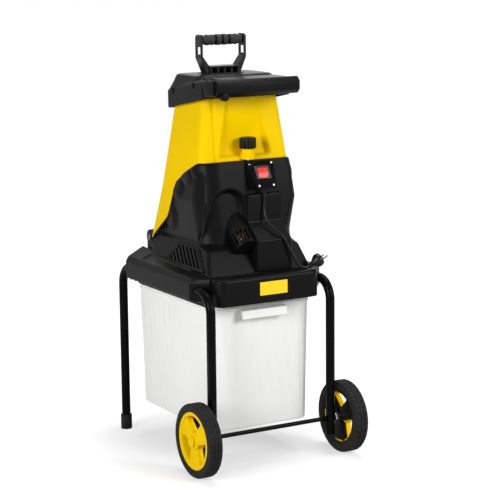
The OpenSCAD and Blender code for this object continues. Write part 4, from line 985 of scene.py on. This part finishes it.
# Cord's route above the ground, and in metres its diameter and the eased edges of its fittings
CORD_ROUTE = [
    [34, -128, 720], [34, -128, 706], [33, -129, 692], [32, -131, 678], [33, -136, 664], [37, -144, 651],
    [44, -154, 639], [53, -165, 626], [64, -175, 612], [73, -179, 594], [82, -182, 576], [92, -184, 557],
    [101, -186, 539], [108, -187, 530], [118, -188, 525], [128, -188, 524], [138, -188, 526.5]]
CORD_D = 0.0065
CORD_EDGE = 0.0004


def plug_shape():
    """Plug: a ribbed cone, a thick disc and a shallow face, turned about the cord's end."""
    ribs = [[0, -1], [4.6, -1], [5.5, 0], [6.6, 3], [5.9, 4], [7.2, 7], [6.6, 8], [8.2, 11], [7.8, 12]]
    disc = [[10, 16], [14, 22], [18, 27], [18.5, 28.5], [18.5, 38], [17.6, 39.5], [16, 40], [0, 40]]
    return moved(lathe(ribs + disc, 40), (0, 65, 0), CORD_ROUTE[-1])


HINGE_LUG = 114.2, 127.2


def hopper_extras():
    """Lock boss and hinge lugs of the hopper."""
    boss = [[0, 300], [20, 300], [20, 315], [18.5, 316.5], [16.5, 316.5]]
    boss += [[16.5, 335.5], [15.5, 336.5], [0, 336.5]]
    arm = rounded([[173, 52], [186, 68], [130, 128], [127, 128], [158, 62]], 1, 3)
    right = joined(*[prism(part, *HINGE_LUG, "X", 1) for part in (circle(17, 40, (173, 56)), arm)])
    return joined(moved(lathe(boss), by=(*LOCK, 0)), right, mirrored(right))


def colour_choice(name, description, default):
    """Colour a user may change."""
    return bpy.props.FloatVectorProperty(
        name=name, description=description, default=default, subtype="COLOR", min=0.0, max=1.0
    )


class ShredderColours(bpy.types.PropertyGroup):
    """Colours of the shredder's finishes, as linear values."""

    yellow: colour_choice("Yellow", "Hopper and wheel hubs", (0.83, 0.545, 0.0))
    black: colour_choice("Black", "Housing, deck, hood and small moulded pieces", (0.004, 0.004, 0.0042))
    tool: colour_choice("Push tool", "Push tool's frame", (0.010, 0.010, 0.010))
    paint: colour_choice("Paint", "Frame tubes and axle", (0.002, 0.002, 0.0022))
    bin: colour_choice("Bin", "Collection bin", (0.93, 0.925, 0.92))
    plate: colour_choice("Plate", "Bare rating plate", (0.9, 0.62, 0.01))
    rocker: colour_choice("Rocker", "Switch rocker", (0.75, 0.04, 0.02))
    rubber: colour_choice("Rubber", "Tyres and feet", (0.010, 0.010, 0.0105))


class ShredderSizes(bpy.types.PropertyGroup):
    """Sizes of the shredder's moulded details."""

    shell_wall: bpy.props.FloatProperty(
        name="Shell wall", description="Wall thickness of the housing and the hopper",
        default=0.004, min=0.002, max=0.006, unit="LENGTH",
    )
    edge: bpy.props.FloatProperty(
        name="Eased edge", description="Width of the eased edges of the dressed pieces",
        default=0.0008, min=0.0002, max=0.002, unit="LENGTH",
    )
    bin_alpha: bpy.props.FloatProperty(
        name="Bin opacity", description="How much of the light the bin's wall stops",
        default=0.96, min=0.3, max=1.0, subtype="FACTOR",
    )


FINISHES = {}


def finish(slot):
    """Material of a slot, made the first time it is asked for."""
    if slot not in FINISHES:
        FINISHES[slot] = new_finish(slot)
    return FINISHES[slot]


def new_finish(slot):
    """Material made for a slot from the colours and sizes chosen."""
    chosen = bpy.context.scene.shredder_colours
    sizes = bpy.context.scene.shredder_sizes
    black = tuple(chosen.black)
    makers = {
        "black_plastic": lambda: moulded_plastic(slot, black, 0.34, gloss=0.055),
        "switch_black": lambda: moulded_plastic(slot, scaled(black, 0.8), 0.45, gloss=0.03),
        "tool_black": lambda: moulded_plastic(slot, tuple(chosen.tool), 0.24, 500.0, gloss=0.1),
        "grip_rubber": lambda: rubber(slot, (0.03, 0.03, 0.03), 0.6, 0.05),
        "foot_rubber": lambda: rubber(slot, scaled(tuple(chosen.rubber), 0.7)),
        "frame_paint": lambda: gloss_paint(slot, tuple(chosen.paint)),
        "steel": lambda: bare_metal(slot, (0.68, 0.68, 0.7)),
        "dark_steel": lambda: bare_metal(slot, (0.1, 0.1, 0.11), 0.4),
        "plate_yellow": lambda: moulded_plastic(slot, tuple(chosen.plate), 0.4, 300.0, 0.00002, 0.04),
        "yellow_plastic": lambda: moulded_plastic(slot, tuple(chosen.yellow), 0.34, 900.0, 5e-5, 0.05, 0.02),
        "bin_plastic": lambda: milky_plastic(slot, tuple(chosen.bin), sizes.bin_alpha),
        "tyre": lambda: rubber(slot, tuple(chosen.rubber), 0.66),
        "aluminium": lambda: bare_metal(slot, (0.62, 0.62, 0.64), 0.45),
        "winding": lambda: varnished_winding(slot, (0.35, 0.18, 0.08)),
        "laminations": lambda: bare_metal(slot, (0.3, 0.28, 0.26), 0.5, (1, 1, 6)),
        # The commutator's copper is far darker than bare copper: painted shade for the inside of the drum,
        # seen only through its slots
        "copper": lambda: bare_metal(slot, (0.13, 0.075, 0.045), 0.5),
        "brass": lambda: bare_metal(slot, (0.75, 0.58, 0.25), 0.3),
        "switch_pale": lambda: moulded_plastic(slot, (0.05, 0.05, 0.052), 0.3, 500.0),
        "rocker_red": lambda: lit_red_plastic(slot, tuple(chosen.rocker)),
        "cord_black": lambda: moulded_plastic(slot, scaled(black, 0.8), 0.26, 700.0, gloss=0.15),
    }
    return makers[slot]()


class SHREDDER_OT_cord(bpy.types.Operator):
    """Cord from its gland to the plug on the deck"""

    bl_idname = "shredder.cord"
    bl_label = "Cord and plug"
    bl_options = {"REGISTER", "UNDO"}

    def execute(self, context):
        route = smooth_path(CORD_ROUTE)
        path = ground(route)
        skin = tube(route, CORD_D / MM / 2, 20)
        cord = made("supply_cord", skin, "cord_black", "chassis", "cord", place=ground)
        plug = made("supply_plug", plug_shape(), "cord_black", "chassis", "plug", place=ground)
        dress("dark_steel", "plug_pins", bevel=CORD_EDGE)
        dress("foot_rubber", "cord_gland", bevel=CORD_EDGE)
        return {"FINISHED"}


class SHREDDER_OT_hopper(bpy.types.Operator):
    """Yellow hopper with its lock boss and hinge lugs"""

    bl_idname = "shredder.hopper"
    bl_label = "Hopper"
    bl_options = {"REGISTER", "UNDO"}

    def execute(self, context):
        sizes = context.scene.shredder_sizes
        skin = made("hopper_skin", hopper_skin(), "yellow_plastic", "hopper", "hopper_shell", outward=False)
        thicken(skin, sizes.shell_wall)
        made("hopper_lugs", hopper_extras(), "yellow_plastic", "hopper")
        return {"FINISHED"}


class SHREDDER_OT_hood(bpy.types.Operator):
    """Hood with its feed slot, pull bar and end caps"""

    bl_idname = "shredder.hood"
    bl_label = "Hood"
    bl_options = {"REGISTER", "UNDO"}

    def execute(self, context):
        made("hood_skin", hood_shape(), "black_plastic", "hopper", "hood")
        made("pull_bar", pull_bar(), "black_plastic", "hopper")
        made("pull_bar_caps", bar_caps(), "black_plastic", "hopper", "bar_end_caps")
        made("hood_clips", shoulder_clips(), "black_plastic", "hopper")
        dress("steel", "hood_screws")
        return {"FINISHED"}


class SHREDDER_OT_housing(bpy.types.Operator):
    """Motor housing with its vents, service box and screws"""

    bl_idname = "shredder.housing"
    bl_label = "Motor housing"
    bl_options = {"REGISTER", "UNDO"}

    def execute(self, context):
        sizes = context.scene.shredder_sizes
        skin = housing_skin()
        shell = made("housing_skin", skin, "black_plastic", "chassis", "motor_housing", outward=False)
        thicken(shell, sizes.shell_wall)
        made("housing_front", housing_front(), "black_plastic", "chassis")
        slats = vent_slats()
        vents = joined(slats, mirrored(slats))
        replaced = "left_vent_grille", "right_vent_grille"
        made("housing_vents", vents, "black_plastic", "chassis", *replaced)
        dress("black_plastic", "motor_drum", "discharge_chute", "hinge_brackets", bevel=sizes.edge)
        dress("dark_steel", "hinge_pins")
        dress("steel", "housing_screws")
        return {"FINISHED"}


class SHREDDER_OT_switch(bpy.types.Operator):
    """Switch box with its plate, rocker and screws"""

    bl_idname = "shredder.switch"
    bl_label = "Switch"
    bl_options = {"REGISTER", "UNDO"}

    def execute(self, context):
        sizes = context.scene.shredder_sizes
        dress("black_plastic", "switch_box", "interlock_switch", bevel=sizes.edge)
        dress("switch_black", "switch_plate", bevel=sizes.edge)
        dress("switch_pale", "switch_body", bevel=sizes.edge / 2)
        dress("rocker_red", "rocker", bevel=sizes.edge / 2)
        dress("steel", "switch_screws", bevel=sizes.edge / 4)
        return {"FINISHED"}


class SHREDDER_OT_lock(bpy.types.Operator):
    """Lock knob with its screw, washer and insert"""

    bl_idname = "shredder.lock"
    bl_label = "Lock knob"
    bl_options = {"REGISTER", "UNDO"}

    def execute(self, context):
        made("lock_grip", knob_shape(), "tool_black", "knob", "lock_knob")
        dress("steel", "lock_screw", "thrust_washer")
        dress("brass", "lock_insert")
        return {"FINISHED"}


class SHREDDER_OT_deck(bpy.types.Operator):
    """Base deck with its rails, bare plate and bolts"""

    bl_idname = "shredder.deck"
    bl_label = "Deck"
    bl_options = {"REGISTER", "UNDO"}

    def execute(self, context):
        sizes = context.scene.shredder_sizes
        made("deck_shell", deck_shape(), "black_plastic", "chassis", "base_deck")
        dress("black_plastic", "bin_rails", bevel=sizes.edge)
        dress("plate_yellow", "rating_plate", bevel=sizes.edge / 4)
        dress("steel", "frame_bolts", bevel=sizes.edge / 4)
        return {"FINISHED"}


class SHREDDER_OT_bin(bpy.types.Operator):
    """Collection bin with its rim and grip lips"""

    bl_idname = "shredder.bin"
    bl_label = "Collection bin"
    bl_options = {"REGISTER", "UNDO"}

    def execute(self, context):
        made("bin_shell", bin_pieces(), "bin_plastic", "bin", "collection_bin")
        return {"FINISHED"}


class SHREDDER_OT_frame(bpy.types.Operator):
    """Frame tubes, axle and feet"""

    bl_idname = "shredder.frame"
    bl_label = "Frame"
    bl_options = {"REGISTER", "UNDO"}

    def execute(self, context):
        sizes = context.scene.shredder_sizes
        dress("frame_paint", "left_frame_tube", "right_frame_tube", "axle")
        dress("foot_rubber", "rear_feet", bevel=sizes.edge)
        dress("steel", "axle_collars", bevel=sizes.edge / 4)
        dress("yellow_plastic", "wheel_caps", bevel=sizes.edge)
        return {"FINISHED"}


class SHREDDER_OT_wheels(bpy.types.Operator):
    """Two wheels, each a tyre, a yellow cover and a dark inner side"""

    bl_idname = "shredder.wheels"
    bl_label = "Wheels"
    bl_options = {"REGISTER", "UNDO"}

    def execute(self, context):
        for side in ("right", "left"):
            parts = tyre_shape(), hub_shape(), wheel_back()
            tyre, hub, back = (mirrored(part) if side == "left" else part for part in parts)
            body = side + "_wheel"
            made(side + "_tyre_rubber", tyre, "tyre", body, side + "_tyre")
            made(side + "_hub_cover", hub, "yellow_plastic", body, side + "_hub")
            made(side + "_hub_back", back, "black_plastic", body)
        return {"FINISHED"}


class SHREDDER_OT_push_tool(bpy.types.Operator):
    """Push tool with its grip"""

    bl_idname = "shredder.push_tool"
    bl_label = "Push tool"
    bl_options = {"REGISTER", "UNDO"}

    def execute(self, context):
        dress("tool_black", "push_tool", bevel=TOOL_EDGE)
        made("tool_grip", grip_shape(), "grip_rubber", "push_tool", "push_tool_grip")
        made("tool_grip_bands", grip_bands(), "switch_black", "push_tool")
        return {"FINISHED"}


class SHREDDER_OT_inside(bpy.types.Operator):
    """Motor, bearings and cutter inside the tower"""

    bl_idname = "shredder.inside"
    bl_label = "Motor and cutter"
    bl_options = {"REGISTER", "UNDO"}

    def execute(self, context):
        dress("steel", "rotor_shaft", "upper_bearing", "lower_bearing", "cutter_disc", "knives")
        dress("dark_steel", "knife_bolts", "disc_nut", "brush_holders")
        dress("aluminium", "bearing_plate")
        dress("winding", "motor_stator")
        dress("laminations", "rotor_core")
        # The commutator's dark copper is painted shade for the inside of the drum
        dress("copper", "commutator")
        dress("black_plastic", "cooling_fan")
        return {"FINISHED"}


CAMERA_AT = (-2.2964, -4.0659, 1.4001)
CAMERA_RIGHT = (0.8679, -0.4968, 0.0)
CAMERA_UP = (0.0884, 0.1544, 0.9841)
CAMERA_BACK = (-0.4889, -0.8540, 0.1779)
CAMERA_ROLL = math.radians(-0.63)
CAMERA_LENS = 123.19
# Area lights: name, watts, and in metres the size, the place and the point aimed at
LIGHTS = (
    ("Key", 108.0, 1.6, (1.7, -3.1, 2.0), (0, 0, 0.6)),
    ("Top", 95.0, 1.8, (0.5, 0.2, 3.8), (0, 0, 0.7)),
    ("Fill", 124.0, 1.8, (-3.4, -1.4, 1.6), (0, 0, 0.5)),
    ("Back", 6.0, 2.0, (1.8, 3.2, 1.6), (0, 0, 0.8)),
)
# Backdrop's strength as a light on the object, and as what is seen
BACKDROP = 0.12, 1.0


def add_camera(scene):
    """Camera at the photo's angle, with its slight roll."""
    camera = bpy.data.cameras.new("View")
    camera.lens = CAMERA_LENS
    camera.sensor_width = 36.0
    c, s = math.cos(CAMERA_ROLL), math.sin(CAMERA_ROLL)
    right, up = np.array(CAMERA_RIGHT), np.array(CAMERA_UP)
    turn = Matrix(np.stack([c * right + s * up, c * up - s * right, CAMERA_BACK], 1).tolist())
    obj = bpy.data.objects.new("View", camera)
    obj.matrix_world = Matrix.Translation(CAMERA_AT) @ turn.to_4x4()
    scene.collection.objects.link(obj)
    scene.camera = obj


def add_light(scene, name, power, size, place, aim):
    """Square area light at a place, turned towards an aim point."""
    light = bpy.data.lights.new(name, "AREA")
    light.energy = power
    light.size = size
    obj = bpy.data.objects.new(name, light)
    turn = (Vector(place) - Vector(aim)).to_track_quat("Z", "Y")
    obj.matrix_world = Matrix.Translation(place) @ turn.to_matrix().to_4x4()
    scene.collection.objects.link(obj)


def seen_rays(tree):
    """1 for rays that see the background straight, mirrored or let through, and 0 for all others."""
    path = tree.nodes.new("ShaderNodeLightPath")
    seen = path.outputs["Is Camera Ray"]
    for kind in ("Is Glossy Ray", "Is Transmission Ray"):
        total = tree.nodes.new("ShaderNodeMath")
        total.use_clamp = True
        tree.links.new(seen, total.inputs[0])
        tree.links.new(path.outputs[kind], total.inputs[1])
        seen = total.outputs[0]
    return seen


# Half the floor's width, and where its shadow starts and ends to fade, in metres from the origin
FLOOR_HALF = 30
SHADOW_FADE = 0.3, 0.85


def add_floor():
    """Plain pale floor: a faint shadow lies under the object, with the backdrop's white round it."""
    mesh = bpy.data.meshes.new("Floor")
    r = FLOOR_HALF
    mesh.from_pydata([(-r, -r, 0), (r, -r, 0), (r, r, 0), (-r, r, 0)], [], [(0, 1, 2, 3)])
    f = Finish("Floor", Roughness=0.9, Emission_Strength=1.0, Specular_IOR_Level=0.0)
    away = f.node("ShaderNodeVectorMath", {"operation": "LENGTH"}, {0: f.place}, out=1)
    low, high = SHADOW_FADE
    reach = f.node("ShaderNodeMapRange", None, {"Value": away, "From Min": low, "From Max": high})
    glow = f.mix(reach, (0.52, 0.52, 0.52), (1.0, 1.0, 1.0))
    glow = f.mix(1 - Signal(f, seen_rays(f.tree)), glow, (0.0, 0.0, 0.0))
    colour = f.mix(reach, (0.42, 0.42, 0.42), (0.3, 0.3, 0.3))
    mesh.materials.append(f.vary(Base_Color=colour, Emission_Color=glow))
    floor = bpy.data.objects.new("Floor", mesh)
    bpy.context.scene.collection.objects.link(floor)


def add_world(scene):
    """White backdrop for the camera, and a softer light on the object."""
    world = bpy.data.worlds.new("Studio")
    world.use_nodes = True
    tree = world.node_tree
    back = tree.nodes["Background"]
    back.inputs["Color"].default_value = (1, 1, 1, 1)
    strength = tree.nodes.new("ShaderNodeMapRange")
    for socket, value in zip(("To Min", "To Max"), BACKDROP):
        strength.inputs[socket].default_value = value
    tree.links.new(seen_rays(tree), strength.inputs["Value"])
    tree.links.new(strength.outputs["Result"], back.inputs["Strength"])
    scene.world = world


class SHREDDER_OT_stage(bpy.types.Operator):
    """Floor, studio light and camera"""

    bl_idname = "shredder.stage"
    bl_label = "Stage"
    bl_options = {"REGISTER", "UNDO"}

    def execute(self, context):
        scene = context.scene
        add_floor()
        add_world(scene)
        for light in LIGHTS:
            add_light(scene, *light)
        add_camera(scene)
        scene.view_settings.view_transform = "Standard"
        return {"FINISHED"}


STEPS = (
    SHREDDER_OT_cord,
    SHREDDER_OT_hopper,
    SHREDDER_OT_hood,
    SHREDDER_OT_housing,
    SHREDDER_OT_switch,
    SHREDDER_OT_lock,
    SHREDDER_OT_deck,
    SHREDDER_OT_bin,
    SHREDDER_OT_frame,
    SHREDDER_OT_wheels,
    SHREDDER_OT_push_tool,
    SHREDDER_OT_inside,
    SHREDDER_OT_stage,
)


class SHREDDER_PT_panel(bpy.types.Panel):
    """Panel with the shredder's colours, sizes and build steps"""

    bl_idname = "SHREDDER_PT_panel"
    bl_label = "Garden shredder"
    bl_space_type = "VIEW_3D"
    bl_region_type = "UI"
    bl_category = "Shredder"

    def draw(self, context):
        for group in (context.scene.shredder_colours, context.scene.shredder_sizes):
            for name in group.__annotations__:
                self.layout.prop(group, name)
        for step in STEPS:
            self.layout.operator(step.bl_idname)


CLASSES = (ShredderColours, ShredderSizes, *STEPS, SHREDDER_PT_panel)


def register():
    for kind in CLASSES:
        bpy.utils.register_class(kind)
    bpy.types.Scene.shredder_colours = bpy.props.PointerProperty(type=ShredderColours)
    bpy.types.Scene.shredder_sizes = bpy.props.PointerProperty(type=ShredderSizes)


def unregister():
    del bpy.types.Scene.shredder_sizes
    del bpy.types.Scene.shredder_colours
    for kind in reversed(CLASSES):
        bpy.utils.unregister_class(kind)


def main():
    register()
    for step in STEPS:
        area, name = step.bl_idname.split(".")
        getattr(getattr(bpy.ops, area), name)()


if __name__ == "__main__":
    main()
